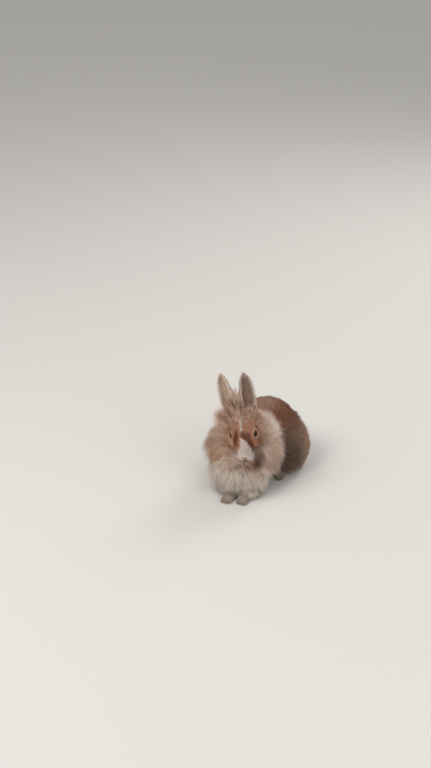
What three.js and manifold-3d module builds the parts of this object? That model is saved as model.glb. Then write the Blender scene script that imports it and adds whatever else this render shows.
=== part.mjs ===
// A lionhead rabbit, sitting with its head raised and turned a little to its left, as a still
// life-size model. Millimetres, +Z up. The body lies along Y with its chest towards -Y, so the
// rabbit's left side is +X. Every form is worked out in the body's own frame, whose Z axis stands
// under the shoulders, and the finished group is set over the middle of its own footprint.

import * as THREE from 'three';
import { mergeVertices } from 'three/addons/utils/BufferGeometryUtils.js';
import Module from 'manifold-3d';

const wasm = await Module();
wasm.setup();

const vec = (x, y, z) => new THREE.Vector3(x, y, z);
const radians = THREE.MathUtils.degToRad;
const DOWN = vec(0, 0, -1);
const SIDES = { right: -1, left: 1 };

// Driving sizes.
const GAP = 0.4; // between pieces that touch
const FLOOR_BITE = 1.2; // how far a sole is pressed flat

const BODY = { halfWidth: 54, rump: 105, back: 122 };
const HEAD = { centre: vec(4, -18, 119), turn: 15, roll: -9, pitch: 30 };
const MANE = { centre: vec(-6, 3, 88), radii: vec(43, 35, 45), turn: 20, length: 40 };
const BIB = { centre: vec(-6, -17, 47), radii: vec(40, 26, 39), length: 34 };
const EYE = { radius: 8, bulge: 2.8, back: -7, up: 9 };
const LID = { long: 6.6, high: 5.6, rim: 1.6, tube: 0.24, out: 4.8 };
const EAR = {
  back: 28,
  up: 22,
  root: 0.12, // share of the length sunk in the crown
  lean: 46,
  bend: 5,
  hook: 4,
  wall: 2.4,
  cup: { from: 0.2, to: 0.92 }, // the shares of the length between which the cup is open
};
const LEFT_EAR = { across: 8.5, length: 77, splay: 5, turn: 30, fullness: 0.92 };
const RIGHT_EAR = { across: -15, length: 79, splay: -18, turn: -22, fullness: 0.88 };
const THIGH = { centre: vec(64, 95, 37), radii: vec(35, 46, 47) };
const HIND_FOOT = { length: 76, halfWidth: 14, height: 20, heel: vec(45, 120, 0) };
const FORELEG = { spread: 13, middle: 1, paw: -43, stagger: 3, radius: 10 };
const TAIL = { centre: vec(0, 159, 34), radii: vec(14, 13, 17), length: 18 };

// Seeded numbers from 0 to 1, so that the coat is the same each time.
function dice(seed) {
  let state = seed;
  return () => {
    state = (state * 1664525 + 1013904223) % 4294967296;
    return state / 4294967296;
  };
}

// Forms

// How far a point lies outside an egg with these half-axes: negative inside it.
function egg(centre, radii, tilt = vec(0, 0, 0)) {
  const turn = new THREE.Quaternion()
    .setFromEuler(new THREE.Euler(radians(tilt.x), radians(tilt.y), radians(tilt.z)))
    .invert();
  return (point) => {
    const local = point.clone().sub(centre).applyQuaternion(turn);
    const near = local.clone().divide(radii);
    const slope = near.clone().divide(radii).length();
    const share = near.length();
    return slope > 0 ? (share * (share - 1)) / slope : -Math.min(radii.x, radii.y, radii.z);
  };
}

// Several forms run together, with a fillet about as wide as soft.
function blend(soft, ...forms) {
  return (point) =>
    forms.reduce((least, form) => {
      const other = form(point);
      const overlap = Math.max(soft - Math.abs(least - other), 0) / soft;
      return Math.min(least, other) - (overlap * overlap * soft) / 4;
    }, Infinity);
}

// The distance from start along a direction at which a form's value passes level.
function reach(form, start, direction, level = 0) {
  const at = (distance) => form(start.clone().addScaledVector(direction, distance)) - level;
  const step = 3;
  let outer = step;
  while (at(outer) < 0 && outer < 400) outer += step;
  let inner = outer - step;
  for (let i = 0; i < 18; i++) {
    const middle = (inner + outer) / 2;
    if (at(middle) < 0) inner = middle;
    else outer = middle;
  }
  return inner;
}

// The outward direction of a form's surface at a point.
function outward(form, point) {
  const slope = (axis) => {
    const step = vec(0, 0, 0).setComponent(axis, 0.2);
    return form(point.clone().add(step)) - form(point.clone().sub(step));
  };
  return vec(slope(0), slope(1), slope(2)).normalize();
}

// A closed geometry as a solid, its faces turned outwards.
function solidOf(geometry, frame) {
  geometry.deleteAttribute('normal');
  geometry.deleteAttribute('uv');
  if (frame) geometry.applyMatrix4(frame);
  const merged = mergeVertices(geometry, 1e-4);
  const triVerts = new Uint32Array(merged.index.array);
  const build = () =>
    new wasm.Manifold(
      new wasm.Mesh({ numProp: 3, vertProperties: merged.attributes.position.array, triVerts }),
    );
  const made = build();
  if (made.volume() > 0) return made;
  for (let i = 0; i < triVerts.length; i += 3) triVerts.subarray(i, i + 2).reverse();
  return build();
}

// A ball of even facets drawn out from a centre to a form's surface.
function skin(form, centre, stretch, detail, level = 0, frame = null) {
  const geometry = new THREE.IcosahedronGeometry(1, detail);
  const { position } = geometry.attributes;
  for (let i = 0; i < position.count; i++) {
    const direction = vec(0, 0, 0).fromBufferAttribute(position, i).multiply(stretch).normalize();
    const point = centre.clone().addScaledVector(direction, reach(form, centre, direction, level));
    position.setXYZ(i, point.x, point.y, point.z);
  }
  return solidOf(geometry, frame);
}

// A closed tube of changing section: place gives the point at an angle and a share of the way.
function shaped(sides, rings, place, frame = null) {
  const geometry = new THREE.SphereGeometry(1, sides, rings);
  const { position, uv } = geometry.attributes;
  for (let i = 0; i < position.count; i++) {
    const point = place(uv.getX(i) * 2 * Math.PI, 1 - uv.getY(i));
    position.setXYZ(i, point.x, point.y, point.z);
  }
  return solidOf(geometry, frame);
}

// A shape with its twin that stands GAP outside it, to cut the neighbours by.
const both = (make) => ({ solid: make(0), grown: make(GAP) });
const joined = (solids) => wasm.Manifold.union(solids);
const without = (solid, ...forms) => solid.subtract(joined(forms.map((form) => form.grown)));
const grownOf = (...groups) => ({ grown: joined(groups.flat().map((form) => form.grown)) });

// The largest closed surface of a solid.
function largest(solid) {
  return solid.decompose().reduce((a, b) => (b.volume() > a.volume() ? b : a));
}

// Locks of wool

// One lock: a flat blade that leaves its root along the lie, bends, droops and tapers to a point.
// lift is the height of its bend and sink the depth of its root in the core.
function lock({ root, normal, lie, length, width, thick, droop, lift = 0.2, sink = 5 }) {
  return both((grow) => {
    const start = root.clone().addScaledVector(normal, -sink);
    const knee = root
      .clone()
      .addScaledVector(lie, 0.45 * length)
      .addScaledVector(normal, lift * length);
    const tip = root
      .clone()
      .addScaledVector(lie, length)
      .addScaledVector(DOWN, droop * length);
    const path = new THREE.QuadraticBezierCurve3(start, knee, tip);
    const taper = (share) => Math.pow(Math.sin(Math.PI * Math.pow(share, 0.6)), 0.85);
    return shaped(4, 4, (angle, share) => {
      const tangent = path.getTangent(share);
      const across = tangent.clone().cross(normal).normalize();
      const over = across.clone().cross(tangent);
      const point = path.getPoint(share);
      if (share === 0) return point.addScaledVector(tangent, -2 * grow);
      if (share === 1) return point.addScaledVector(tangent, 4 * grow);
      const wide = (taper(share) * width) / 2 + 3 * grow;
      const deep = (taper(share) * thick) / 2 + 1.5 * grow;
      return point
        .addScaledVector(across, wide * Math.cos(angle))
        .addScaledVector(over, deep * Math.sin(angle));
    });
  });
}

// Rows of locks round an axis on a form. Each row is {tilt, from, to, count}: the row's angle from
// the axis, and its stretch round it, in degrees from the top (or the back, where the axis points
// up) towards the left. flow is how much each lock follows the row's outward fall, stands up and
// hangs down. A lock whose root bare answers to is left out.
function rows({ form, centre, axis, seed, size, flow, bare }, list) {
  const roll = dice(seed);
  const aloft = Math.abs(axis.z) > 0.9 ? vec(0, 1, 0) : vec(0, 0, 1);
  const up = aloft.addScaledVector(axis, -aloft.dot(axis)).normalize();
  const side = up.clone().cross(axis).normalize();
  const locks = [];
  for (const row of list) {
    for (let i = 0; i < row.count; i++) {
      const share = (i + 0.5 + 0.3 * (roll() - 0.5)) / row.count;
      const round = radians(row.from + share * (row.to - row.from));
      const tilt = radians(row.tilt + 5 * (roll() - 0.5));
      const radial = up
        .clone()
        .multiplyScalar(Math.cos(round))
        .addScaledVector(side, Math.sin(round));
      const direction = axis
        .clone()
        .multiplyScalar(Math.cos(tilt))
        .addScaledVector(radial, Math.sin(tilt));
      const root = centre.clone().addScaledVector(direction, reach(form, centre, direction));
      const normal = outward(form, root);
      const along = radial
        .clone()
        .multiplyScalar(Math.cos(tilt))
        .addScaledVector(axis, -Math.sin(tilt));
      const hang = DOWN.clone().addScaledVector(normal, normal.z);
      const vary = 0.85 + 0.3 * roll();
      const lean = 0.5 * (roll() - 0.5);
      if (bare && bare(root)) continue;
      const { fall, stand, drop } = { ...flow, ...row.flow };
      const lie = along
        .multiplyScalar(fall)
        .addScaledVector(normal, stand)
        .addScaledVector(hang, drop)
        .addScaledVector(normal.clone().cross(along), lean)
        .normalize();
      const length = vary * (row.length ?? size.length);
      locks.push({ root, ...lock({ root, normal, lie, ...size, length }) });
    }
  }
  return locks;
}

// Frames

const turned = (centre, turn, roll = 0, pitch = 0) =>
  new THREE.Matrix4()
    .makeTranslation(centre.x, centre.y, centre.z)
    .multiply(new THREE.Matrix4().makeRotationZ(radians(turn)))
    .multiply(new THREE.Matrix4().makeRotationY(radians(roll)))
    .multiply(new THREE.Matrix4().makeRotationX(radians(pitch)));

const headFrame = turned(HEAD.centre, HEAD.turn, HEAD.roll, HEAD.pitch);
const headInverse = headFrame.clone().invert();
const maneTurn = vec(0, 0, MANE.turn);

// The head, in its own frame: nose towards -Y, left +X, crown +Z

const skull = blend(
  12,
  egg(vec(0, 15, 5), vec(24, 28, 23)), // cranium
  egg(vec(9.5, -9, 4), vec(9, 19, 14)), // left brow and orbit
  egg(vec(-9.5, -9, 4), vec(9, 19, 14)), // right brow and orbit
  egg(vec(17, 4, -12), vec(15, 22, 17)), // left cheek
  egg(vec(-17, 4, -12), vec(15, 22, 17)), // right cheek
  egg(vec(0, -19, -5), vec(15.5, 24, 15)), // muzzle
  egg(vec(0, -18, 6), vec(10, 26, 11), vec(12, 0, 0)), // bridge of the nose
);
const FEATURES = [
  { centre: vec(6.3, -36.5, -12.5), radii: vec(8.5, 10, 9.5), detail: 2 }, // left whisker pad
  { centre: vec(-6.3, -36.5, -12.5), radii: vec(8.5, 10, 9.5), detail: 2 }, // right whisker pad
  { centre: vec(0, -31, -21), radii: vec(8, 10, 6.5), detail: 1 }, // chin and lower lip
  { centre: vec(0, -43.5, -5), radii: vec(4.8, 4, 3.6), detail: 1 }, // nose
];
const headForm = blend(3, skull, ...FEATURES.map(({ centre, radii }) => egg(centre, radii)));
const headAt = (point) => headForm(point.clone().applyMatrix4(headInverse));

const headSkin = both((grow) => {
  const whole = skin(skull, vec(0, -2, -3), vec(1, 1.2, 1), 6, grow, headFrame);
  const features = FEATURES.map(({ centre, radii, detail }) =>
    skin(egg(centre, radii), centre, vec(1, 1, 1), detail, grow, headFrame),
  );
  return joined([whole, ...features]);
});

// An eyeball, set into the side of the head so that only its bulge stands out.
function eyeFrame(side) {
  const middle = vec(0, EYE.back, EYE.up);
  const across = reach(headForm, middle, vec(side, 0, 0)) + EYE.bulge - EYE.radius;
  return headFrame
    .clone()
    .multiply(new THREE.Matrix4().makeTranslation(side * across, EYE.back, EYE.up));
}
const eye = (side) =>
  both((grow) => solidOf(new THREE.IcosahedronGeometry(EYE.radius + grow, 2), eyeFrame(side)));

// The rim of the lids: an oval ring that bears on the eyeball, heavier above.
const lids = (side) =>
  both((grow) => {
    const ring = new THREE.TorusGeometry(1, LID.tube, 4, 11);
    const { position } = ring.attributes;
    for (let i = 0; i < position.count; i++) {
      const [x, y, z] = [position.getX(i), position.getY(i), position.getZ(i)];
      const round = Math.atan2(y, x);
      const tube = (Math.hypot(x, y) - 1) / LID.tube;
      const rim = LID.rim * (1 + 0.3 * Math.max(Math.sin(round), 0)) + grow;
      position.setXYZ(
        i,
        Math.cos(round) * (LID.long + tube * rim),
        Math.sin(round) * (LID.high + tube * rim),
        (z / LID.tube) * rim,
      );
    }
    const set = new THREE.Matrix4()
      .makeRotationZ(radians(side * 80))
      .multiply(new THREE.Matrix4().makeRotationX(radians(82)))
      .multiply(new THREE.Matrix4().makeTranslation(0, 0, LID.out));
    return solidOf(ring, eyeFrame(side).multiply(set));
  });

// A narrow groove in the head's skin, through points given as directions from the muzzle.
function groove(directions, radius) {
  const heart = vec(0, -32, -11);
  const points = directions.map((direction) => {
    const unit = direction.clone().normalize();
    return heart.clone().addScaledVector(unit, reach(headForm, heart, unit));
  });
  const corners = [0, 1, 2, 3].map((k) => (k * Math.PI) / 2);
  const section = new THREE.Shape(
    corners.map((a) => new THREE.Vector2(radius * Math.cos(a), radius * Math.sin(a))),
  );
  const path = new THREE.CatmullRomCurve3(points);
  const tube = new THREE.ExtrudeGeometry(section, {
    steps: 4,
    extrudePath: path,
    bevelEnabled: false,
  });
  return solidOf(tube, headFrame);
}

// The cleft below the nose, the line of the mouth on each side, and the nostrils.
function mouth() {
  const cleft = groove([vec(0, -1, 0.05), vec(0, -1, -0.35), vec(0, -1, -0.8)], 0.8);
  const lips = Object.values(SIDES).map((side) =>
    groove([vec(0, -1, -0.72), vec(side * 0.5, -1, -0.8), vec(side * 1.1, -0.7, -0.78)], 0.8),
  );
  const nostrils = Object.values(SIDES).map((side) => {
    const slit = new THREE.IcosahedronGeometry(1, 0);
    const set = new THREE.Matrix4()
      .makeTranslation(side * 3, -46.6, -5.6)
      .multiply(new THREE.Matrix4().makeRotationY(radians(side * 32)))
      .multiply(new THREE.Matrix4().makeScale(2.6, 2.4, 1));
    return solidOf(slit, headFrame.clone().multiply(set));
  });
  return joined([cleft, ...lips, ...nostrils]);
}

// An ear, in its own frame: tip towards +Z, the cup open towards -Y

const earFrame = ({ across, splay, turn }) =>
  headFrame
    .clone()
    .multiply(new THREE.Matrix4().makeTranslation(across, EAR.back, EAR.up))
    .multiply(new THREE.Matrix4().makeRotationX(radians(-EAR.lean)))
    .multiply(new THREE.Matrix4().makeRotationY(radians(splay)))
    .multiply(new THREE.Matrix4().makeRotationZ(radians(turn)));

const between = (stops, share) => {
  const scaled = share * (stops.length - 1);
  const low = Math.min(Math.floor(scaled), stops.length - 2);
  return THREE.MathUtils.lerp(stops[low], stops[low + 1], scaled - low);
};
const earWidth = (share) => between([8, 11, 13.6, 14.6, 14, 11.6, 7.4, 0], share);
const earDepth = (share) => between([8, 7.4, 6.6, 5.8, 5, 4.2, 3, 0], share);
const earBend = (share) => EAR.bend * share * share;
const earHook = ({ across }, share) => -Math.sign(across) * EAR.hook * share * share;

function earShell(ear) {
  const outer = both((grow) =>
    shaped(
      12,
      8,
      (angle, share) => {
        const closed = share > 0 && share < 1 ? 1 : 0;
        const wide = closed * (ear.fullness * earWidth(share) + grow);
        const deep = closed * (earDepth(share) + grow);
        return vec(
          wide * Math.cos(angle) + earHook(ear, share),
          deep * Math.sin(angle) + earBend(share),
          (share - EAR.root) * (ear.length + 2 * grow),
        );
      },
      earFrame(ear),
    ),
  );
  const hollow = shaped(
    10,
    7,
    (angle, share) => {
      const up = EAR.cup.from + (EAR.cup.to - EAR.cup.from) * share;
      const closed = share > 0 && share < 1 ? 1 : 0;
      const wide = closed * Math.max(ear.fullness * earWidth(up) - EAR.wall, 1);
      const deep = closed * (2 * earDepth(up) - EAR.wall);
      return vec(
        wide * Math.cos(angle) + earHook(ear, up),
        deep * Math.sin(angle) - earDepth(up) + earBend(up),
        (up - EAR.root) * ear.length,
      );
    },
    earFrame(ear),
  );
  return { solid: outer.solid.subtract(hollow), grown: outer.grown };
}

// The body

const bodyForm = blend(
  18,
  egg(vec(0, 28, 58), vec(38, 52, 42)), // ribs
  egg(vec(0, 66, 61), vec(49, 58, 54)), // loin and belly
  egg(vec(0, BODY.rump, BODY.back / 2 + 1), vec(BODY.halfWidth, 54, BODY.back / 2 - 1)), // rump
  egg(vec(48, 97, 38), vec(28, 48, 39)), // left haunch
  egg(vec(-48, 97, 38), vec(28, 48, 39)), // right haunch
);
const bodySkin = both((grow) => skin(bodyForm, vec(0, 72, 60), vec(1, 1.6, 1), 6, grow));

const maneForm = egg(MANE.centre, MANE.radii, maneTurn);
const maneCore = both((grow) => skin(maneForm, MANE.centre, vec(1, 1, 1), 4, grow));
const bibForm = egg(BIB.centre, BIB.radii, maneTurn);
const bibCore = both((grow) => skin(bibForm, BIB.centre, vec(1, 1, 1), 4, grow));

const thighRegion = (side) =>
  both((grow) => {
    const ball = new THREE.IcosahedronGeometry(1, 2);
    const { centre, radii } = THIGH;
    ball.scale(radii.x + grow, radii.y + grow, radii.z + grow);
    return solidOf(ball.translate(side * centre.x, centre.y, centre.z));
  });

// A hind foot: a long sole from the hock to the toes, which spread at the front.
function hindFootForm(side) {
  const { length, halfWidth, height, heel } = HIND_FOOT;
  const along = (share) => heel.y - share * length;
  const parts = [
    egg(vec(side * heel.x, along(0.45), height * 0.42), vec(halfWidth * 0.9, length * 0.52, 9)),
    egg(vec(side * heel.x, along(0.12), height * 0.5), vec(halfWidth * 0.8, 14, 10)),
  ];
  for (const toe of [-1.5, -0.5, 0.5, 1.5]) {
    const forward = along(0.94) + 1.6 * Math.abs(toe);
    parts.push(egg(vec(side * heel.x + toe * 5.2, forward, 5), vec(3.3, 9, 6)));
  }
  return blend(3, ...parts);
}
const hindFoot = (side) =>
  both((grow) => {
    const centre = vec(side * HIND_FOOT.heel.x, HIND_FOOT.heel.y - HIND_FOOT.length / 2, 6);
    return skin(hindFootForm(side), centre, vec(1, 3.2, 1), 3, grow);
  });

// A foreleg: an upright shank with a paw of four toes.
const pawMiddle = (side) =>
  vec(FORELEG.middle + side * FORELEG.spread, FORELEG.paw + side * FORELEG.stagger, 6);

function forelegForm(side) {
  const paw = pawMiddle(side);
  const { radius } = FORELEG;
  const parts = [
    egg(vec(paw.x, paw.y + 15, 30), vec(radius, radius + 1, 34)),
    egg(paw, vec(radius + 0.5, 16, 8)),
  ];
  for (const toe of [-1.5, -0.5, 0.5, 1.5]) {
    const forward = paw.y - 13 + 1.2 * Math.abs(toe);
    parts.push(egg(vec(paw.x + toe * 4.6, forward, 4.5), vec(2.9, 6.5, 5)));
  }
  return blend(3, ...parts);
}
const foreleg = (side) =>
  both((grow) => {
    const centre = pawMiddle(side).add(vec(0, 9, 6));
    return skin(forelegForm(side), centre, vec(1, 1.3, 1.8), 4, grow);
  });

const tailForm = egg(TAIL.centre, TAIL.radii, vec(-18, 0, 0));
const tailCore = both((grow) => skin(tailForm, TAIL.centre, vec(1, 1, 1), 2, grow));

// The coat: rows of locks on the crown, cheeks, mane, bib and tail

const aimed = (y, z, turn) => vec(0, y, z).normalize().applyAxisAngle(vec(0, 0, 1), radians(turn));
const inHead = (x, y, z) => vec(x, y, z).normalize().transformDirection(headFrame);

// The crest, which stands up before the ears, and the wool round the face and under the chin.
const crestLocks = rows(
  {
    form: headAt,
    centre: HEAD.centre,
    axis: inHead(0, 0.4, 1),
    seed: 5,
    size: { length: 27, width: 11, thick: 4, droop: 0.1, lift: 0.25 },
    flow: { fall: 0.5, stand: 0.7, drop: 0 },
  },
  [
    { tilt: 18, from: -50, to: 50, count: 3, length: 36, flow: { fall: -0.1, stand: 1 } },
    { tilt: 24, from: 50, to: 130, count: 2, flow: { fall: 0.3, stand: 1 } },
    { tilt: 24, from: 230, to: 310, count: 2, flow: { fall: 0.3, stand: 1 } },
    { tilt: 8, from: 90, to: 270, count: 2, flow: { fall: 0.35, stand: 0.9 } },
    { tilt: 24, from: 125, to: 235, count: 3, length: 20 },
    { tilt: 40, from: 60, to: 120, count: 2 },
    { tilt: 40, from: 240, to: 300, count: 2 },
  ],
);
const cheekLocks = rows(
  {
    form: headAt,
    centre: HEAD.centre,
    axis: inHead(0, -1, 0),
    seed: 7,
    size: { length: 31, width: 13, thick: 4, droop: 0.08 },
    flow: { fall: 0.6, stand: 0.3, drop: 0.5 },
  },
  [
    { tilt: 90, from: 60, to: 140, count: 4 },
    { tilt: 90, from: 220, to: 300, count: 4 },
    { tilt: 108, from: 50, to: 135, count: 4 },
    { tilt: 108, from: 225, to: 310, count: 4 },
    { tilt: 132, from: -90, to: 90, count: 5, flow: { fall: 0.8, stand: 0.2 } },
  ],
);

const maneLocks = rows(
  {
    form: maneForm,
    centre: MANE.centre,
    axis: aimed(-0.62, 0.78, MANE.turn),
    seed: 11,
    size: { length: MANE.length, width: 16, thick: 4.8, droop: 0.06 },
    flow: { fall: 0.55, stand: 0.3, drop: 0.5 },
    bare: (root) => headAt(root) < 1 || bodyForm(root) < -4 || bibForm(root) < -4,
  },
  [
    { tilt: 38, from: -90, to: 90, count: 5, flow: { stand: 0.5 } },
    { tilt: 40, from: 105, to: 255, count: 7, length: 34 },
    { tilt: 47, from: 72, to: 118, count: 2 },
    { tilt: 47, from: 242, to: 288, count: 3 },
    { tilt: 55, from: 0, to: 360, count: 14, flow: { stand: 0.4 } },
    { tilt: 71, from: 8, to: 368, count: 15 },
    { tilt: 87, from: 0, to: 360, count: 15 },
    { tilt: 104, from: 7, to: 367, count: 13 },
  ],
);

const bibLocks = rows(
  {
    form: bibForm,
    centre: BIB.centre,
    axis: aimed(-0.5, 0.86, MANE.turn),
    seed: 23,
    size: { length: BIB.length, width: 15, thick: 4.6, droop: 0 },
    flow: { fall: 0.25, stand: 0.22, drop: 0.8 },
    bare: (root) => headAt(root) < 1 || bodyForm(root) < -4 || root.z < 17,
  },
  [
    { tilt: 18, from: 90, to: 270, count: 3 },
    { tilt: 36, from: 90, to: 270, count: 6 },
    { tilt: 54, from: 85, to: 275, count: 7 },
    { tilt: 72, from: 80, to: 280, count: 7 },
    { tilt: 90, from: 80, to: 280, count: 7 },
  ],
);

const tailLocks = rows(
  {
    form: tailForm,
    centre: TAIL.centre,
    axis: vec(0, 0.3, -1).normalize(),
    seed: 41,
    size: { length: TAIL.length, width: 12, thick: 4, droop: 0, lift: 0.15 },
    flow: { fall: 1, stand: -0.05, drop: 0 },
    bare: (root) => bodyForm(root) < 1,
  },
  [
    { tilt: 40, from: 0, to: 360, count: 5 },
    { tilt: 95, from: 20, to: 380, count: 6 },
  ],
);

// The nodes

const material = (color, roughness = 0.9) =>
  new THREE.MeshStandardMaterial({ color, roughness, metalness: 0 });
const MATERIALS = {
  tan: material(0xa5724a),
  cream: material(0xcdbfae),
  white: material(0xd9d0c6),
  saddle: material(0x9a6a48),
  smoke: material(0x6f5f55),
  eye: material(0x1d1310, 0.15),
};

const rabbit = new THREE.Group();
const floor = solidOf(new THREE.BoxGeometry(600, 600, 60).translate(0, 0, -30 + FLOOR_BITE));

// Adds a solid as a named mesh, with what lies under the floor cut off flat.
function add(name, solid, finish) {
  const { numProp, vertProperties, triVerts } = largest(solid.subtract(floor)).getMesh();
  const geometry = new THREE.BufferGeometry();
  const points = new THREE.InterleavedBuffer(vertProperties, numProp);
  geometry.setAttribute('position', new THREE.InterleavedBufferAttribute(points, 3, 0));
  geometry.setIndex(new THREE.BufferAttribute(triVerts, 1));
  const mesh = new THREE.Mesh(geometry.toNonIndexed(), MATERIALS[finish].clone());
  mesh.geometry.computeVertexNormals();
  mesh.name = name;
  rabbit.add(mesh);
}

const pair = (make) => Object.fromEntries(Object.entries(SIDES).map(([k, s]) => [k, make(s)]));
const eyes = pair(eye);
const ears = { right: earShell(RIGHT_EAR), left: earShell(LEFT_EAR) };
const feet = pair(hindFoot);
const legs = pair(foreleg);
const thighs = pair(thighRegion);
const withoutLocks = (locks, ...forms) => locks.map(({ solid }) => without(solid, ...forms));

const headLocks = [...crestLocks, ...cheekLocks];
const faceParts = [...Object.values(eyes), ...Object.values(ears)];

const lidRings = pair(lids);
const flesh = [headSkin, ...Object.values(lidRings)];
const headParts = [...flesh, ...Object.values(eyes)];
const face = joined(flesh.map((form) => form.solid)).subtract(mouth());
add(
  'head',
  joined([
    without(face, ...Object.values(eyes)),
    ...withoutLocks(headLocks, ...faceParts, bodySkin),
  ]),
  'tan',
);
for (const side of Object.keys(SIDES)) {
  add(`eye_${side}`, eyes[side].solid, 'eye');
  add(`ear_${side}`, without(ears[side].solid, ...headParts), 'tan');
}

const headGrown = grownOf(headParts, headLocks);
add(
  'neck_mane',
  joined([
    without(maneCore.solid, headGrown),
    ...withoutLocks(maneLocks, headGrown, bodySkin, bibCore, ...Object.values(ears)),
  ]),
  'cream',
);

const maneGrown = grownOf(maneCore, maneLocks);
add(
  'chest_bib',
  joined([
    without(bibCore.solid, ...headParts, maneCore, ...Object.values(legs)),
    ...withoutLocks(bibLocks, headGrown, maneGrown, bodySkin, ...Object.values(legs)),
  ]),
  'white',
);

const cores = [maneCore, bibCore, tailCore, ...headParts];
const trunkCuts = [...cores, ...Object.values(feet), ...Object.values(thighs)];
add('torso', without(bodySkin.solid, ...trunkCuts), 'saddle');
for (const side of Object.keys(SIDES)) {
  const flank = bodySkin.solid.intersect(thighs[side].solid);
  add(`thigh_${side}`, without(flank, feet[side], ...cores), 'smoke');
  add(`hind_foot_${side}`, feet[side].solid, 'tan');
  add(`foreleg_${side}`, without(legs[side].solid, maneCore, bodySkin), 'white');
}
add('tail', joined([tailCore.solid, ...withoutLocks(tailLocks, bodySkin)]), 'smoke');

// Sets the origin under the middle of the rabbit, on the floor.
const bounds = new THREE.Box3().setFromObject(rabbit);
const middle = bounds.getCenter(vec(0, 0, 0));
rabbit.position.set(-middle.x, -middle.y, -FLOOR_BITE);

export default rabbit;
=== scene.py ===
"""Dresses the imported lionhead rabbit: one skin of flesh, eyes, claws and whiskers, and its coat of
short fur and long wool in solid tufts, on a plain pale floor. Lengths in the forms are millimetres
in the body's own frame, whose Z axis goes through the shoulders, and meshes are in metres in the
part's frame.
"""

import math

import bmesh
import bpy
import numpy as np
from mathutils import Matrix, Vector


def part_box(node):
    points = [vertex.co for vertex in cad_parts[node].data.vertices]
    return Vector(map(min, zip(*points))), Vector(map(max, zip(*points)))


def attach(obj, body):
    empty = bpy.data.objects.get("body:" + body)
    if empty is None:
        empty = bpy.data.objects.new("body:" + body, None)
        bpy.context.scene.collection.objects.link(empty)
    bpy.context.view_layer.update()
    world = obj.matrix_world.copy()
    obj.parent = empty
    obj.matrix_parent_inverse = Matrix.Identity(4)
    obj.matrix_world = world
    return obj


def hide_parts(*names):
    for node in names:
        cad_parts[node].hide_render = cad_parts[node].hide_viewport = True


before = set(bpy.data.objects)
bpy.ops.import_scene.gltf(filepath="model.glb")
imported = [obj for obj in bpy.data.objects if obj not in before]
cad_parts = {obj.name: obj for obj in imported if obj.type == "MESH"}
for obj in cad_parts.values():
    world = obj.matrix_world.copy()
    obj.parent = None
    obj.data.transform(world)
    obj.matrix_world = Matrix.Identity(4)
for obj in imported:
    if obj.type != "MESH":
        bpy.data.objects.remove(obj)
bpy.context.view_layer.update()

bl_info = {
    "name": "Lionhead rabbit",
    "version": (1, 0, 0),
    "blender": (4, 5, 0),
    "location": "View3D > Sidebar > Rabbit",
    "description": "Skin, eyes, claws, whiskers and coat of a sitting lionhead rabbit",
    "category": "Add Mesh",
}

MM = 0.001
SHIFT = np.array((0.0, -57.128, -1.2))  # from the body's own frame to the part's
LOWEST = 0.3 - SHIFT[2]  # no hair lies nearer to the floor than 0.3
SIDE_REACH, SIDE_GIVE = 78.5, 3.5  # beyond the first, the coat is pressed in to within the second
SIDES = {"left": 1, "right": -1}
DOWN = np.array((0.0, 0.0, -1.0))


# Frames and numbers


def turn_about(axis, degrees):
    """A 3x3 rotation about one axis: the unit matrix turned in the plane of the two other axes."""
    cosine, sine = math.cos(math.radians(degrees)), math.sin(math.radians(degrees))
    first, second = [(1, 2), (2, 0), (0, 1)][axis]
    turn = np.eye(3)
    turn[first, first] = turn[second, second] = cosine
    turn[first, second], turn[second, first] = -sine, sine
    return turn


HEAD_CENTRE = np.array((4.0, -18.0, 119.0))
HEAD_TURN = turn_about(2, 15) @ turn_about(1, -9) @ turn_about(0, 30)
MANE_TURN = turn_about(2, 20)
MANE = np.array(((-6.0, 3, 88), (43, 35, 45)))  # centre and half-axes
BIB = np.array(((-6.0, -17, 47), (40, 26, 39)))
TAIL = np.array(((0.0, 159, 34), (14, 13, 17)))
PAW_SPREAD = 13
HEEL = (45, 120)
FOOT_LENGTH = 76
TOE_LINE = HEEL[1] - 0.94 * FOOT_LENGTH
FORE_TOES = (4.6, 1.2)  # how far apart, and how much further back for each one towards the side
HIND_TOES = (5.2, 1.6)
EAR = {"back": 28, "up": 22, "root": 0.12, "lean": 46, "bend": 5, "hook": 4, "wall": 1.7}
EARS = {
    "left": {"across": 8.5, "length": 74, "splay": 5, "turn": 30, "full": 0.92},
    "right": {"across": -15, "length": 79, "splay": -18, "turn": -22, "full": 0.88},
}
EAR_WIDTHS = (8, 11, 13.6, 14.6, 14, 11.6, 7.4, 0)
EAR_DEPTHS = (8, 7.4, 6.6, 5.8, 5, 4.2, 3, 0)
EAR_BLUNT = 0.72  # the share of the ear's length from which its tip rounds off
EAR_RINGS, EAR_COLUMNS = 90, 72
DEPTHS = {"head": 1.7, "mane": 8, "bib": 7, "trunk": 4.2, "limb": 1.8, "tail": 4}  # of the coat
TUFTS = {"face": 20000, "ruff": 11200, "mane": 9200, "bib": 11200, "back": 17000, "flank": 12500}
TUFTS |= {"limb": 10500, "tail": 3200, "ear": 6400}
BACK_EDGE = 88  # the height from which the back's coat begins
LID = {"long": 6.9, "high": 6.1, "rim": 0.6, "ball": 8.05, "fold": 8.5, "sunk": 6.4, "reach": 12}


def in_head(points):
    """Points in the head's own frame: nose towards -Y, crown +Z."""
    return (points - HEAD_CENTRE) @ HEAD_TURN


def from_head(points):
    """Points of the head's own frame in the body's."""
    return points @ HEAD_TURN.T + HEAD_CENTRE


def distance(points, place):
    """How far each point lies from a place."""
    return np.linalg.norm(points - place, axis=-1)


def unit(vectors):
    """Vectors divided by their lengths."""
    return vectors / np.maximum(np.linalg.norm(vectors, axis=-1, keepdims=True), 1e-9)


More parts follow.
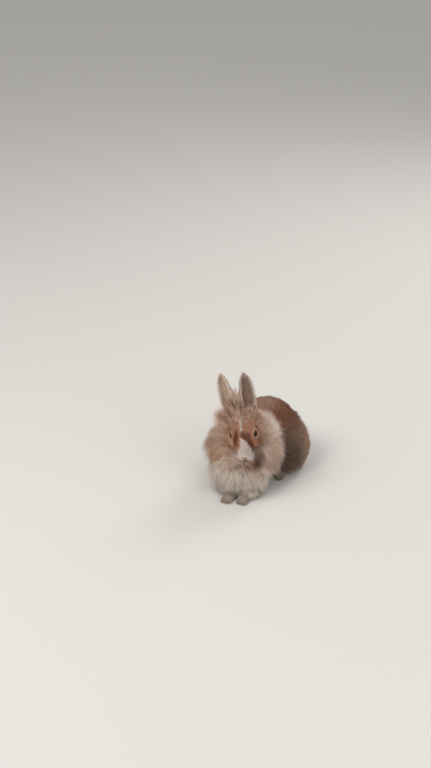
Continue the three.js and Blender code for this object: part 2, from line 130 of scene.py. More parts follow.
def towards(x, y, z):
    """The direction with these shares along the axes."""
    return unit(np.array((x, y, z), float))


def degrees_from(directions, axis):
    """The angle of unit directions from an axis: the arc cosine of their product."""
    return np.degrees(np.arccos(np.clip(directions @ axis, -1, 1)))


def step(low, high, values):
    """0 below low, 1 above high, and 3t^2 - 2t^3 of the share t between them."""
    share = np.clip((values - low) / (high - low), 0, 1)
    return share * share * (3 - 2 * share)


def flat(vectors, normals):
    """The part of each vector that lies in the surface whose normal is given."""
    return vectors - normals * np.sum(vectors * normals, axis=-1, keepdims=True)


# Forms: how far points lie outside each one


def egg(points, centre, radii, turn=np.eye(3)):
    """Near an ellipsoid: k(k - 1) / |gradient of k|, where k is the point's distance from the
    centre measured in the half-axes."""
    near = ((points - np.asarray(centre, float)) @ turn) / radii
    share = np.linalg.norm(near, axis=-1)
    slope = np.linalg.norm(near / radii, axis=-1)
    return share * (share - 1) / np.maximum(slope, 1e-6)


def eggs(points, centre, radii, less=0):
    """An ellipsoid on the left and its mirror image, both smaller by a distance."""
    x, y, z = centre
    return [egg(points, (side * x, y, z), radii) + less for side in SIDES.values()]


def blend(soft, *values):
    """The least of several values, less h^2 soft / 4 where two come within soft of each other and h
    is the share of soft that they overlap by."""
    least = values[0]
    for other in values[1:]:
        overlap = np.maximum(soft - np.abs(least - other), 0) / soft
        least = np.minimum(least, other) - overlap * overlap * soft / 4
    return least


def eye_axes(side):
    """The eye's own frame: its length along X, its height along Y and its outward axis along Z."""
    return HEAD_TURN @ turn_about(2, side * 74) @ turn_about(0, 79)


def eye_centre(name):
    """The middle and half-width of the CAD's eyeball, in the body's frame."""
    low, high = (np.array(corner) * 1000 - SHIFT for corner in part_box(f"eye_{name}"))
    return (low + high) / 2, float(np.max(high - low)) / 2


def eye_distance(points):
    """The distance to the nearer eye's middle."""
    return np.minimum(*[distance(points, eye_centre(name)[0]) for name in SIDES])


def lid_share(points):
    """How far from the middle of the nearer eye's opening each point lies: 1 on its oval rim."""
    least = np.inf
    for name, side in SIDES.items():
        local = (points - eye_centre(name)[0]) @ eye_axes(side)
        share = np.hypot(local[:, 0] / LID["long"], local[:, 1] / LID["high"])
        before = (local[:, 2] > 0) & (distance(local, 0) < LID["reach"])
        least = np.minimum(least, np.where(before, share, np.inf))
    return least


def eye_opening(points):
    """Sinks the skin under the eyeball inside the lids' oval rim: its distance from the eye's
    middle goes to the sunk one where its share of the oval is under 0.85, and swells a little just
    outside the rim."""
    share = lid_share(points)
    moved = points.copy()
    for name in SIDES:
        off = points - eye_centre(name)[0]
        far = distance(off, 0)
        near = far < LID["reach"]
        inside = step(1.06, 0.85, share) * near
        swell = 0.45 * np.exp(-(((share - 1.3) / 0.22) ** 2)) * near
        wanted = far * (1 - inside) + LID["sunk"] * inside + swell
        moved += off * ((wanted - far) / np.maximum(far, 1e-6))[:, None] * near[:, None]
    return moved


def head_form(points):
    """Cranium, orbits, cheeks, muzzle and bridge run together, then whisker pads, chin and nose,
    and the lids' fold as a ball round each eye."""
    p = in_head(points)
    skull = blend(
        12,
        egg(p, (0, 15, 5), (24, 28, 23)),
        *eggs(p, (9.5, -9, 4), (9, 19, 14)),
        *eggs(p, (17, 4, -12), (15, 22, 17)),
        egg(p, (0, -19, -5), (15.5, 24, 15)),
        egg(p, (0, -18, 6), (10, 26, 11), turn_about(0, 12)),
    )
    folds = [distance(points, eye_centre(name)[0]) - LID["fold"] for name in SIDES]
    return blend(
        3,
        blend(5, skull + DEPTHS["head"], *folds),
        *eggs(p, (6.3, -36.5, -12.5), (8.5, 10, 9.5), 1.2),
        egg(p, (0, -31, -21), (8, 10, 6.5)) + 1,
        egg(p, (0, -43.5, -5), (4.8, 4, 3.6)) + 0.3,
    )


def trunk_form(points):
    """Ribs, loin, rump and haunches run together, less the coat's depth."""
    middle = blend(
        18,
        egg(points, (0, 28, 58), (38, 52, 42)),
        egg(points, (0, 66, 61), (49, 58, 54)),
        egg(points, (0, 105, 62), (54, 54, 60)),
    )
    left, right = eggs(points, (47.5, 97, 39), (28, 47, 40))
    return blend(14, middle - 0.6, left - 2.6, right - 1.2) + DEPTHS["trunk"]


def paw_middle(side):
    """Where a forepaw rests."""
    return np.array((1 + side * PAW_SPREAD, -43 + 3 * side, 6.0))


def toe_places(middle, front, apart, back):
    """Where a foot's four toes lie, across and along."""
    return [(middle + toe * apart, front + back * abs(toe)) for toe in (-1.5, -0.5, 0.5, 1.5)]


def foreleg_form(points, side):
    """An upright shank, a paw and four toes, less the coat's depth, and thinner upwards under the
    bib."""
    x, y, _ = paw_middle(side)
    toes = [egg(points, (*toe, 4.5), (2.9, 6.5, 5)) for toe in toe_places(x, y - 13, *FORE_TOES)]
    shank = egg(points, (x, y + 15, 30), (10, 11, 34))
    paw = egg(points, (x, y, 6), (10.5, 16, 8))
    return blend(3, shank, paw, *toes) + (DEPTHS["limb"] + 7 * step(14, 36, points[:, 2]))


def hind_foot_form(points, side):
    """A long sole from the hock, with four toes spread at its front, less the coat's depth."""
    x, y = side * HEEL[0], HEEL[1]
    toes = [egg(points, (*toe, 5), (3.3, 9, 6)) for toe in toe_places(x, TOE_LINE, *HIND_TOES)]
    sole = egg(points, (x, y - 0.45 * FOOT_LENGTH, 8.4), (12.6, 0.52 * FOOT_LENGTH, 9))
    heel = egg(points, (x, y - 0.12 * FOOT_LENGTH, 10), (11.2, 14, 10))
    return blend(3, sole, heel, *toes) + DEPTHS["limb"]


FORMS = {
    "head": head_form,
    "mane": lambda points: egg(points, *MANE, MANE_TURN) + DEPTHS["mane"],
    "bib": lambda points: egg(points, *BIB, MANE_TURN) + DEPTHS["bib"],
    "trunk": trunk_form,
    "paw_left": lambda points: foreleg_form(points, 1),
    "paw_right": lambda points: foreleg_form(points, -1),
    "foot_left": lambda points: hind_foot_form(points, 1),
    "foot_right": lambda points: hind_foot_form(points, -1),
    "tail": lambda points: egg(points, *TAIL, turn_about(0, -18)) + DEPTHS["tail"],
}


def groups(points):
    """Each group of flesh by itself, as far inside its outline as its coat is deep."""
    return {name: form(points) for name, form in FORMS.items()}


def flesh(points):
    """All the groups run together with fillets, as one skin."""
    group = groups(points)
    soft = blend(9, group["trunk"], group["bib"], group["mane"], group["head"])
    front = blend(10, soft, group["paw_left"], group["paw_right"])
    return blend(5, front, group["foot_left"], group["foot_right"], group["tail"])


def settle(form, points, rounds=5, width=0.3):
    """Moves points on to a form's surface: each round takes off value times gradient over its
    square, with the gradient from the values a little to each side."""
    for _ in range(rounds):
        aside = np.eye(3) * width
        slope = [(form(points + way) - form(points - way)) / (2 * width) for way in aside]
        slope = np.stack(slope, axis=1)
        length = np.maximum(np.sum(slope * slope, axis=1), 0.05)
        points = points - slope * np.clip(form(points) / length, -3, 3)[:, None]
    return points


# Surfaces


def ball_grid(rows, columns):
    """Unit directions by latitude and longitude, with one pole point at each end: sin(v)cos(u),
    sin(v)sin(u), cos(v)."""
    v = np.linspace(0, math.pi, rows + 1)[1:-1, None]
    u = np.linspace(0, 2 * math.pi, columns, endpoint=False)[None, :]
    ring = (np.sin(v) * np.cos(u), np.sin(v) * np.sin(u), np.cos(v) * np.ones_like(u))
    return np.concatenate(([[0, 0, 1]], np.stack(ring, axis=-1).reshape(-1, 3), [[0, 0, -1]]))


def grid_faces(rows, columns):
    """Triangles of rings of columns points between two pole points, seen from outside."""
    ring = np.arange(rows - 1) * columns + 1
    turn = np.arange(columns)
    after = (turn + 1) % columns
    a = (ring[:-1, None] + turn).ravel()
    b = (ring[:-1, None] + after).ravel()
    c, d = a + columns, b + columns
    last = ring[-1]
    triangles = (
        (np.zeros(columns, int), 1 + turn, 1 + after),
        (a, c, d),
        (a, d, b),
        (last + turn, np.full(columns, last + columns), last + after),
    )
    return np.concatenate([np.stack(corners, axis=1) for corners in triangles])


def drawn_out(form, centre, stretch=(1, 1, 1), rows=48, columns=72):
    """A closed surface round a centre: along each direction, the distance where the form's value
    passes 0, found in strides of 2 and then by halving."""
    directions = unit(ball_grid(rows, columns) * stretch)
    outer = np.full(len(directions), 2.0)
    for _ in range(90):
        inside = form(centre + directions * outer[:, None]) < 0
        outer = np.where(inside, outer + 2, outer)
    inner = outer - 2
    for _ in range(12):
        middle = (inner + outer) / 2
        inside = form(centre + directions * middle[:, None]) < 0
        inner, outer = np.where(inside, middle, inner), np.where(inside, outer, middle)
    return centre + directions * inner[:, None], grid_faces(rows, columns)


def tube_grid(rings, columns):
    """The angle and the share of the way of each point of a tube with a pole at each end."""
    angle = np.tile(np.linspace(0, 2 * math.pi, columns, endpoint=False), rings - 1)
    share = np.repeat(np.linspace(0, 1, rings + 1)[1:-1], columns)
    return np.concatenate(([0], angle, [0])), np.concatenate(([0], share, [1]))


def tube(rings, columns, place):
    """A closed tube: place gives points from columns of angles and of shares of the way."""
    angle, share = tube_grid(rings, columns)
    return place(angle[:, None], share[:, None]), grid_faces(rings, columns)


def outward_faces(points, faces):
    """Faces turned so that the closed surface's volume, the sum of a.(b x c) / 6, is positive."""
    a, b, c = (points[faces[:, k]] for k in range(3))
    return faces if np.sum(a * np.cross(b, c)) > 0 else faces[:, ::-1]


def together(surfaces):
    """Several surfaces as one list of points and one of faces."""
    points, faces, start = [], [], 0
    for some_points, some_faces in surfaces:
        points.append(some_points)
        faces.append(outward_faces(some_points, some_faces) + start)
        start += len(some_points)
    return np.concatenate(points), np.concatenate(faces)


def normals_of(points, faces):
    """Each point's normal: the sum of the cross products of its faces' edges."""
    a, b, c = (points[faces[:, k]] for k in range(3))
    across = np.cross(b - a, c - a)
    normals = np.zeros_like(points)
    for k in range(3):
        np.add.at(normals, faces[:, k], across)
    return unit(normals)


def to_part(points):
    """The body's own frame in millimetres to the part's in metres."""
    return (points + SHIFT) * MM


def points_of(mesh):
    """A mesh's points, from the part's frame to the body's own."""
    place = np.empty(len(mesh.vertices) * 3, np.float32)
    mesh.vertices.foreach_get("co", place)
    return place.reshape(-1, 3).astype(float) * 1000 - SHIFT


def corners_of(mesh):
    """Which point each corner of a mesh's faces is at."""
    corners = np.empty(len(mesh.loops), np.int32)
    mesh.loops.foreach_get("vertex_index", corners)
    return corners


def new_mesh(name, points, faces):
    """A smooth triangle mesh from arrays of points in the body's frame and faces."""
    mesh = bpy.data.meshes.new(name)
    mesh.vertices.add(len(points))
    mesh.vertices.foreach_set("co", to_part(points).astype(np.float32).ravel())
    mesh.loops.add(faces.size)
    mesh.loops.foreach_set("vertex_index", faces.astype(np.int32).ravel())
    mesh.polygons.add(len(faces))
    mesh.polygons.foreach_set("loop_start", np.arange(0, faces.size, 3, dtype=np.int32))
    mesh.polygons.foreach_set("use_smooth", np.ones(len(faces), bool))
    mesh.update()
    mesh.validate()
    return mesh


def placed(name, data, way=None):
    """Puts an object into the scene, turned to look along a way if one is given."""
    holder = bpy.data.objects.new(name, data)
    bpy.context.scene.collection.objects.link(holder)
    if way is not None:
        holder.rotation_euler = way.to_track_quat("-Z", "Y").to_euler()
    return holder


def new_piece(mesh, material, slot, nodes=()):
    """Puts a mesh into the scene as a piece that rides on the body and stands for CAD nodes."""
    piece = placed(mesh.name, mesh)
    mesh.materials.append(material)
    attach(piece, "root")
    if nodes:
        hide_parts(*nodes)


def note(mesh, **notes):
    """Keeps numbers or vectors, one for each point of a mesh, for its material to read."""
    for name, values in notes.items():
        values = np.asarray(values, np.float32)
        kind, field = ("FLOAT_VECTOR", "vector") if values.ndim == 2 else ("FLOAT", "value")
        mesh.attributes.new(name, kind, "POINT").data.foreach_set(field, values.ravel())


def note_places(mesh, points):
    """Keeps each point's place in the body's and in the head's frame, in metres."""
    note(mesh, place=points * MM, face=in_head(points) * MM)


# Materials


class Wire:
    """A socket of a material, on which numbers are worked out as Python sums."""

    def __init__(self, tree, socket=None):
        self.tree, self.socket = tree, socket

    def feed(self, node, inputs):
        """Sets a node's sockets: a wire is linked to its socket, anything else is its value."""
        for key, value in inputs.items():
            if isinstance(value, Wire):
                self.tree.links.new(value.socket, node.inputs[key])
            else:
                node.inputs[key].default_value = value

    def node(self, kind, settings, inputs, output=0):
        """Adds a node: its type, its settings, then the values or links of its sockets."""
        made = self.tree.nodes.new(kind)
        for name, value in settings.items():
            setattr(made, name, value)
        self.feed(made, inputs)
        return Wire(self.tree, made.outputs[output])

    def maths(self, operation, *values):
        return self.node("ShaderNodeMath", {"operation": operation}, dict(enumerate(values)))

    def __add__(self, other):
        return self.maths("ADD", self, other)

    __radd__ = __add__

    def __sub__(self, other):
        return self.maths("SUBTRACT", self, other)

    def __rsub__(self, other):
        return self.maths("SUBTRACT", other, self)

    def __mul__(self, other):
        return self.maths("MULTIPLY", self, other)

    def magnitude(self):
        return self.maths("ABSOLUTE", self)

    def ramp(self, low, high):
        """0 at low and 1 at high, smooth between."""
        settings = {"interpolation_type": "SMOOTHSTEP"}
        return self.node("ShaderNodeMapRange", settings, {0: self, 1: low, 2: high})

    def part(self, axis):
        """One coordinate of a vector."""
        return self.node("ShaderNodeSeparateXYZ", {}, {0: self}, axis)

    def vector(self, operation, inputs, output=0):
        settings = {"operation": operation}
        return self.node("ShaderNodeVectorMath", settings, {0: self, **inputs}, output)

    def within(self, centre, radii, soft):
        """1 inside an ellipsoid in millimetres and 0 outside it, with an edge as wide as soft."""
        middle, half = ([value * MM for value in values] for values in (centre, radii))
        near = self.vector("SUBTRACT", {1: middle}).vector("DIVIDE", {1: half})
        return near.vector("LENGTH", {}, 1).ramp(1 + soft / 2, 1 - soft / 2)

    def noise(self, scale, detail, output=0):
        inputs = {"Vector": self, "Scale": scale, "Detail": detail, "Roughness": 0.55}
        return self.node("ShaderNodeTexNoise", {}, inputs, output)

    def ragged(self, scale, detail, by):
        """A place moved about by noise, so that the marks have ragged edges."""
        waver = self.noise(scale, detail, 1).vector("SUBTRACT", {1: (0.5, 0.5, 0.5)})
        return self.vector("ADD", {1: waver.vector("SCALE", {"Scale": by})})

    def read(self, name, output=2):
        """What a mesh's points keep under a name: a number, or a vector by its output 1."""
        return self.node("ShaderNodeAttribute", {"attribute_name": name}, {}, output)

    def grain(self, scale, detail):
        """Noise at the place of the object's own frame."""
        return self.node("ShaderNodeTexCoord", {}, {}, 3).noise(scale, detail)

    def times(self, light):
        """A colour made lighter or darker by a number."""
        grey = self.node("ShaderNodeCombineColor", {}, {0: light, 1: light, 2: light})
        settings = {"data_type": "RGBA", "blend_type": "MULTIPLY"}
        return self.node("ShaderNodeMix", settings, {0: 1.0, 6: self, 7: grey}, 2)


def mixed(factor, *ends):
    """Two colours, wires or three numbers each, mixed by a factor."""
    first, second = (end if isinstance(end, Wire) else (*end, 1.0) for end in ends)
    inputs = {0: factor, 6: first, 7: second}
    return factor.node("ShaderNodeMix", {"data_type": "RGBA"}, inputs, 2)


def new_material(name, look):
    """A material whose shader's sockets get what look works out from a first wire."""
    material = bpy.data.materials.new(name)
    material.use_nodes = True
    wire = Wire(material.node_tree)
    wire.feed(material.node_tree.nodes["Principled BSDF"], look(wire))
    return material


# Marks of the coat: middle, half-axes, softness of the edge, strength and colour
BODY_MARKS = (
    ((58, 48, 50), (24, 32, 32), 0.9, 0.75, "flank"),
    # Painted sheen: this row and its mirror two lines down lay a lighter pinkish brown on the
    # haunch, as its edge looks at grazing angles
    ((78, 118, 40), (30, 40, 50), 0.9, 0.6, "haunch"),
    ((-58, 48, 50), (24, 32, 32), 0.9, 0.75, "flank"),
    ((-78, 118, 40), (30, 40, 50), 0.9, 0.6, "haunch"),
    ((0, 160, 30), (24, 20, 30), 0.5, 0.7, "belly"),
    ((-2, 82, 126), (28, 36, 18), 0.9, 0.42, "crown"),
    ((-4, 6, 86), (66, 62, 64), 0.35, 1, "collar"),
    ((-8, -2, 84), (58, 50, 56), 0.35, 1, "mane"),
    ((-45, -30, 75), (22, 32, 22), 0.9, 0.5, "tan"),
    ((44, -8, 78), (26, 34, 30), 0.9, 0.75, "warm"),
    ((-8, -32, 32), (60, 50, 42), 0.7, 1, "bib"),
    # Painted shade under the chin: the mane's darker tone laid thinly over the top of the bib
    ((6, -46, 76), (26, 24, 15), 0.9, 0.2, "mane"),
)
# Painted highlight: a bright spot of the blaze's white laid on the wool high behind the left ear
BEHIND_EAR_HIGHLIGHT_MARKS = (((35, 16, 131), (17, 20, 18), 0.8, 0.8, "blaze"),)
HEAD_MARKS = (
    ((0, -6, -1), (32, 62, 39), 0.75, 1, "face"),
    ((-31, -18, 1), (13, 20, 19), 0.8, 0.4, "cheek"),
    ((0, 24, 34), (32, 22, 26), 0.7, 0.8, "crown"),
    ((-9, 44, 48), (13, 24, 24), 0.6, 0.8, "khaki"),
    # The jowl mark is the cheek's own brown beside the mouth, made darker as painted shade beside
    # the whisker pads
    ((22, -35, -27), (17, 24, 13.5), 0.7, 0.95, "jowl"),
)
# Painted shade round the eyes: the patch's dark brown laid inside the right eye, round both eyes and
# on the cheek below the left eye
EYE_SHADE_MARKS = (
    ((-10.3, -18.5, 9), (5, 15, 14), 0.5, 0.95, "patch"),
    ((16.5, -8, 10), (8, 10, 9), 0.5, 0.2, "patch"),
    ((-16.5, -8, 10), (8, 10, 9), 0.5, 0.25, "patch"),
    ((23, -14, -7), (5, 8, 7), 0.5, 0.35, "patch"),
)
MOUTH_MARKS = (
    # Painted shade beneath the muzzle: the mane's tan laid over the chin
    ((0, -28, -22), (14, 18, 8.5), 0.5, 0.85, "mane"),
    ((-15, -33, -24), (8.5, 13, 10), 0.7, 0.5, "blaze"),
)
NOSE_MARKS = (((0, -45.5, -5.2), (5.6, 4.6, 3.4), 0.35, 1, "nose"),)


def markings(wire):
    """The coat's colour, where each mark is laid over the last wherever its place is within it,
    and the place in the head's frame. On the nose, beyond is how far across a place lies past the
    blaze's right edge, which wanders across as it goes forward."""
    place = wire.read("place", 1).ragged(60, 3, 0.026)
    face = wire.read("face", 1).ragged(260, 2, 0.006)
    tones = bpy.context.scene.rabbit_colours
    back, height = place.part(1), place.part(2)
    colour = mixed(height.ramp(0.052, 0.106), tones.smoke, tones.saddle)

    def lay(mask, name):
        nonlocal colour
        colour = mixed(mask, colour, getattr(tones, name))

    def lay_all(where, marks):
        for middle, radii, soft, strength, name in marks:
            lay(where.within(middle, radii, soft) * strength, name)

    lay(height.ramp(0.030, 0.012) * 0.7, "belly")
    lay_all(place, BODY_MARKS)
    lay(height.ramp(0.020, 0.010) * back.ramp(0.004, -0.012), "paws")
    lay(height.ramp(0.019, 0.012) * back.ramp(0.076, 0.066) * 0.8, "belly")
    # lays the painted highlight behind the left ear
    lay_all(place, BEHIND_EAR_HIGHLIGHT_MARKS)
    lay_all(face, HEAD_MARKS)

    across, forward, height = face.part(0), 0 - face.part(1), face.part(2)
    right_edge = wire.maths("MINIMUM", forward - 0.024, 0.012)
    beyond = across - wire.maths("MAXIMUM", right_edge, -0.002)
    narrow = forward.ramp(0.020, 0.039)
    width = 0.0145 - narrow * 0.0105
    patch = beyond.ramp(-0.001, 0.001) * (beyond - width).ramp(0.003, -0.003)
    patch = patch * forward.ramp(0.008, 0.021) * forward.ramp(0.043, 0.038)
    lay(patch * height.ramp(-0.012, -0.004) * (narrow * 0.08 + 0.88), "patch")
    # lays the painted shade round the eyes
    lay_all(face, EYE_SHADE_MARKS)
    streak = (across + 0.0018).magnitude().ramp(0.0022, 0.0008) * forward.ramp(-0.014, -0.008)
    lay(streak * forward.ramp(0.0155, 0.0105) * height.ramp(0.008, 0.014) * 0.95, "blaze")
    left_edge = forward.ramp(0.034, 0.042) * -0.0115 - 0.0036
    blaze = beyond.ramp(0.0008, -0.0008) * (across - left_edge).ramp(-0.0008, 0.0008)
    lay(blaze * forward.ramp(0.021, 0.026) * height.ramp(-0.020, -0.012), "blaze")
    for side in SIDES.values():
        pad = face.within((side * 6.5, -38, -13.5), (9.2, 12.5, 8.5), 0.3)
        lay(pad * forward.ramp(0.022, 0.030) * 0.95, "blaze")
    lay_all(face, MOUTH_MARKS)
    # Painted shade in the cleft of the upper lip: a thin line of the patch's dark brown
    cleft = across.magnitude().ramp(0.0012, 0.0005) * forward.ramp(0.034, 0.037)
    lay(cleft * height.ramp(-0.007, -0.009) * height.ramp(-0.023, -0.019) * 0.85, "patch")
    lay_all(face, NOSE_MARKS)
    return colour, face


def ear_markings(wire, colour):
    """The ears' own colours over the rest: the right ear pale beige and the left a pinkish grey
    brown, darker towards the tip, both pale at the rim."""
    up = wire.read("up")
    outside = mixed(up.ramp(0.75, 1.0), (0.46, 0.34, 0.25), (0.38, 0.28, 0.22))
    pale = mixed(up.ramp(0.4, 0.9), (0.70, 0.54, 0.41), (0.62, 0.47, 0.38))
    grey = mixed(up.ramp(0.3, 0.7), (0.48, 0.31, 0.235), (0.41, 0.275, 0.22))
    grey = mixed(up.ramp(0.84, 0.93), grey, (0.62, 0.48, 0.42))
    left = wire.read("face", 1).part(0).ramp(-0.004, 0.000)
    own = mixed(wire.read("cup"), outside, mixed(left, pale, grey))
    edge = mixed(left, (0.90, 0.76, 0.68), (0.62, 0.50, 0.44))
    return mixed(wire.read("ear"), colour, mixed(wire.read("rim") * 0.85, own, edge))


def fur_look(wire, ears=False):
    """Coat: the markings at each tuft's root, with painted shadow between the crest's locks, darker
    at the root and lighter at the tip as painted shade deep in the coat, and a little different on
    every tuft."""
    colour, face = markings(wire)
    if ears:
        colour = ear_markings(wire, colour)
    share, chance = wire.read("share"), wire.read("chance")
    # Painted shadow between the crest's locks: some crown tufts, picked at random, darkened to the
    # jowl's brown
    crest_gap_shade = face.within((0, 22, 34), (24, 18, 24), 0.6) * chance.ramp(0.36, 0.26)
    colour = mixed(crest_gap_shade * 0.65, colour, bpy.context.scene.rabbit_colours.jowl)
    return {
        # the first factor is painted shade, darker at the root than at the tip; the second differs
        # at random from tuft to tuft
        "Base Color": colour.times((share * 0.36 + 0.78) * (chance * 0.34 + 0.83)),
        "Roughness": 0.78 + chance * 0.14,
        "Sheen Weight": 0.1,
        "Sheen Roughness": 0.4,
        "Specular IOR Level": 0.25,
    }


def skin_look(wire):
    """Skin under the coat: the coat's own markings, dark at the lids and round the eyes."""
    colour, face = markings(wire)
    colour = ear_markings(wire, colour)
    for side in SIDES.values():
        around = face.within((side * 17, -7.5, 9.5), (8.6, 8.6, 8), 0.3)
        colour = mixed(around * 0.45, colour, (0.38, 0.26, 0.19))
    colour = mixed(wire.read("lid"), colour, (0.14, 0.085, 0.065))
    grain = wire.grain(900, 3)
    relief = {"Strength": 0.5, "Distance": 0.0006, "Height": grain}
    return {
        "Base Color": colour.times(grain * 0.5 + 0.62),
        "Normal": wire.node("ShaderNodeBump", {}, relief),
        "Roughness": 0.7,
        "Specular IOR Level": 0.3,
    }


def eye_look(wire):
    """A dark wet eye: the pupil within 0.44 radians of its axis, a brown iris and a dark rim."""
    off_axis = wire.read("off_axis")
    iris = mixed(wire.grain(2600, 2).ramp(0.3, 0.7), (0.022, 0.009, 0.005), (0.06, 0.025, 0.012))
    colour = mixed(off_axis.ramp(0.44, 0.50), (0.004, 0.003, 0.003), iris)
    return {
        "Base Color": mixed(off_axis.ramp(0.74, 0.84), colour, (0.02, 0.011, 0.009)),
        "Roughness": 0.14,
        "Specular IOR Level": 0.08,
        "Coat Weight": 0.1,
        "Coat Roughness": 0.03,
    }


def claw_look(wire):
    """Brown horn, cloudy by noise."""
    horn = mixed(wire.grain(500, 2).ramp(0.3, 0.7), (0.14, 0.09, 0.065), (0.30, 0.21, 0.16))
    return {"Base Color": horn, "Roughness": 0.35}


# Sizes and colours of the panel


def measure(name, description, default):
    """A property that holds one length."""
    return bpy.props.FloatProperty(
        name=name, description=description, default=default, unit="LENGTH"
    )


def tint(name, description, *colour):
    """A property that holds one colour of the coat."""
    return bpy.props.FloatVectorProperty(
        name=name, description=description, default=colour, subtype="COLOR", min=0, max=1
    )


class RabbitSizes(bpy.types.PropertyGroup):
    """Sizes of the coat and the skin."""

    face_length: measure("Face fur", "Length of the fur on the cheeks", 0.0062)
    body_length: measure("Body fur", "Length of the fur on the back", 0.014)
    mane_length: measure("Mane", "Length of the mane's wool", 0.045)
    bib_length: measure("Bib", "Length of the bib's wool", 0.038)
    crest_length: measure("Crest", "Length of the wool on the crown", 0.029)
    voxel: measure("Skin mesh", "Width of the skin's faces", 0.0019)
    density: bpy.props.FloatProperty(
        name="Density",
        description="Share of the full number of tufts",
        default=1.0,
        subtype="FACTOR",
    )


class RabbitColours(bpy.types.PropertyGroup):
    """Colours of the coat."""

    face: tint("Face", "Ginger tan of the face and cheeks", 0.435, 0.225, 0.137)
    # The patch's dark brown is also laid as painted shade round the eyes and in the cleft of the
    # upper lip
    patch: tint("Patch", "Dark brown beside the bridge of the nose", 0.14, 0.031, 0.011)
    # Partly the cheeks' own brown and partly painted shade beside the pads; also laid as painted
    # shadow between the crest's locks
    jowl: tint("Jowl", "Brown of the cheeks beside the mouth", 0.135, 0.053, 0.025)
    crown: tint("Crown", "Greyer tan of the crest", 0.62, 0.425, 0.33)
    # The blaze's white is also laid as a painted highlight behind the left ear
    blaze: tint("Blaze", "White of the blaze and whisker pads", 0.68, 0.58, 0.53)
    nose: tint("Nose", "Pink of the nose", 0.43, 0.29, 0.245)
    # The mane's tone is also laid as painted shade at the top of the bib and on the chin beneath the
    # muzzle
    mane: tint("Mane", "Light greyish cream of the mane", 0.62, 0.44, 0.335)
    tan: tint("Tan", "Tan at the mane's lower right", 0.56, 0.33, 0.21)
    cheek: tint("Cheek", "Light ginger behind the right eye", 0.68, 0.40, 0.25)
    khaki: tint("Khaki", "Greenish tan of the wool before the right ear", 0.66, 0.51, 0.37)
    warm: tint("Warm mane", "Pinkish beige of the mane's left side", 0.72, 0.53, 0.44)
    collar: tint("Collar", "Cream band behind the mane", 0.82, 0.68, 0.595)
    bib: tint("Bib", "Greyish white of the bib", 0.83, 0.74, 0.66)
    saddle: tint("Saddle", "Tan brown of the back", 0.222, 0.072, 0.026)
    smoke: tint("Smoke", "Grey brown of the sides", 0.25, 0.185, 0.122)
    flank: tint("Flank", "Dark brown before the haunch", 0.115, 0.058, 0.036)
    # Painted sheen: the lighter pinkish brown of the haunch's edge as seen at grazing angles
    haunch: tint("Haunch", "Pinkish brown of the haunch's edge", 0.46, 0.225, 0.14)
    belly: tint("Belly", "Pale grey of the belly and feet", 0.42, 0.34, 0.27)
    paws: tint("Paws", "Near white of the forepaws", 0.88, 0.80, 0.71)


def size(name):
    """A size of the panel in millimetres."""
    return getattr(bpy.context.scene.rabbit_sizes, name) * 1000


def tuft_count(full):
    return int(full * 1.0 * bpy.context.scene.rabbit_sizes.density)


# The skin

SKIN = {}


def rough_skin():
    """Each group of flesh drawn out from its middle, and all fused by a voxel mesh."""
    starts = {
        "trunk": ((0, 72, 60), (1, 1.6, 1), 80, 120),
        "head": (from_head(np.array((0, -2, -3.0))), (1, 1.2, 1), 80, 120),
        "mane": MANE[:1],
        "bib": BIB[:1],
        "tail": TAIL[:1],
    }
    for name, side in SIDES.items():
        starts[f"paw_{name}"] = (paw_middle(side) + (0, 9, 6), (1, 1.3, 1.8))
        starts[f"foot_{name}"] = ((side * HEEL[0], HEEL[1] - FOOT_LENGTH / 2, 6), (1, 3.2, 1))
    surfaces = [drawn_out(FORMS[name], *start) for name, start in starts.items()]
    rough = placed("rough", new_mesh("rough", *together(surfaces)))
    remesh = rough.modifiers.new("fuse", "REMESH")
    remesh.mode = "VOXEL"
    coarser = 1
    remesh.voxel_size = bpy.context.scene.rabbit_sizes.voxel * coarser
    bpy.context.view_layer.update()
    graph = bpy.context.evaluated_depsgraph_get()
    made = bpy.data.meshes.new_from_object(rough.evaluated_get(graph))
    bpy.data.objects.remove(rough)
    return made


def skin_surface():
    """The flesh in one closed surface: the fused groups, finer at the muzzle and the eyes, settled
    on the form that runs them together."""
    made = rough_skin()
    finer = bmesh.new()
    finer.from_mesh(made)
    place = in_head(points_of(made))
    wanted = (place[:, 1] < -27) | (distance(np.abs(place), (16, 7, 9)) < LID["reach"])
    ends = np.empty(len(made.edges) * 2, np.int32)
    made.edges.foreach_get("vertices", ends)
    finer.edges.ensure_lookup_table()
    chosen = np.nonzero(wanted[ends.reshape(-1, 2)].all(axis=1))[0].tolist()
    edges = [finer.edges[k] for k in chosen]
    bmesh.ops.subdivide_edges(finer, edges=edges, cuts=2, use_grid_fill=True)
    bmesh.ops.triangulate(finer, faces=finer.faces)
    finer.to_mesh(made)
    finer.free()
    points, faces = points_of(made), corners_of(made).reshape(-1, 3)
    bpy.data.meshes.remove(made)
    return settle(flesh, points), faces


def near_curve(points, curve, wide):
    """exp(-(d / wide)^2), where d is the distance to the nearest of a curve's points."""
    least = np.inf
    for middle in curve:
        least = np.minimum(least, np.sum((points - middle) ** 2, axis=1))
    return np.exp(-least / wide**2)


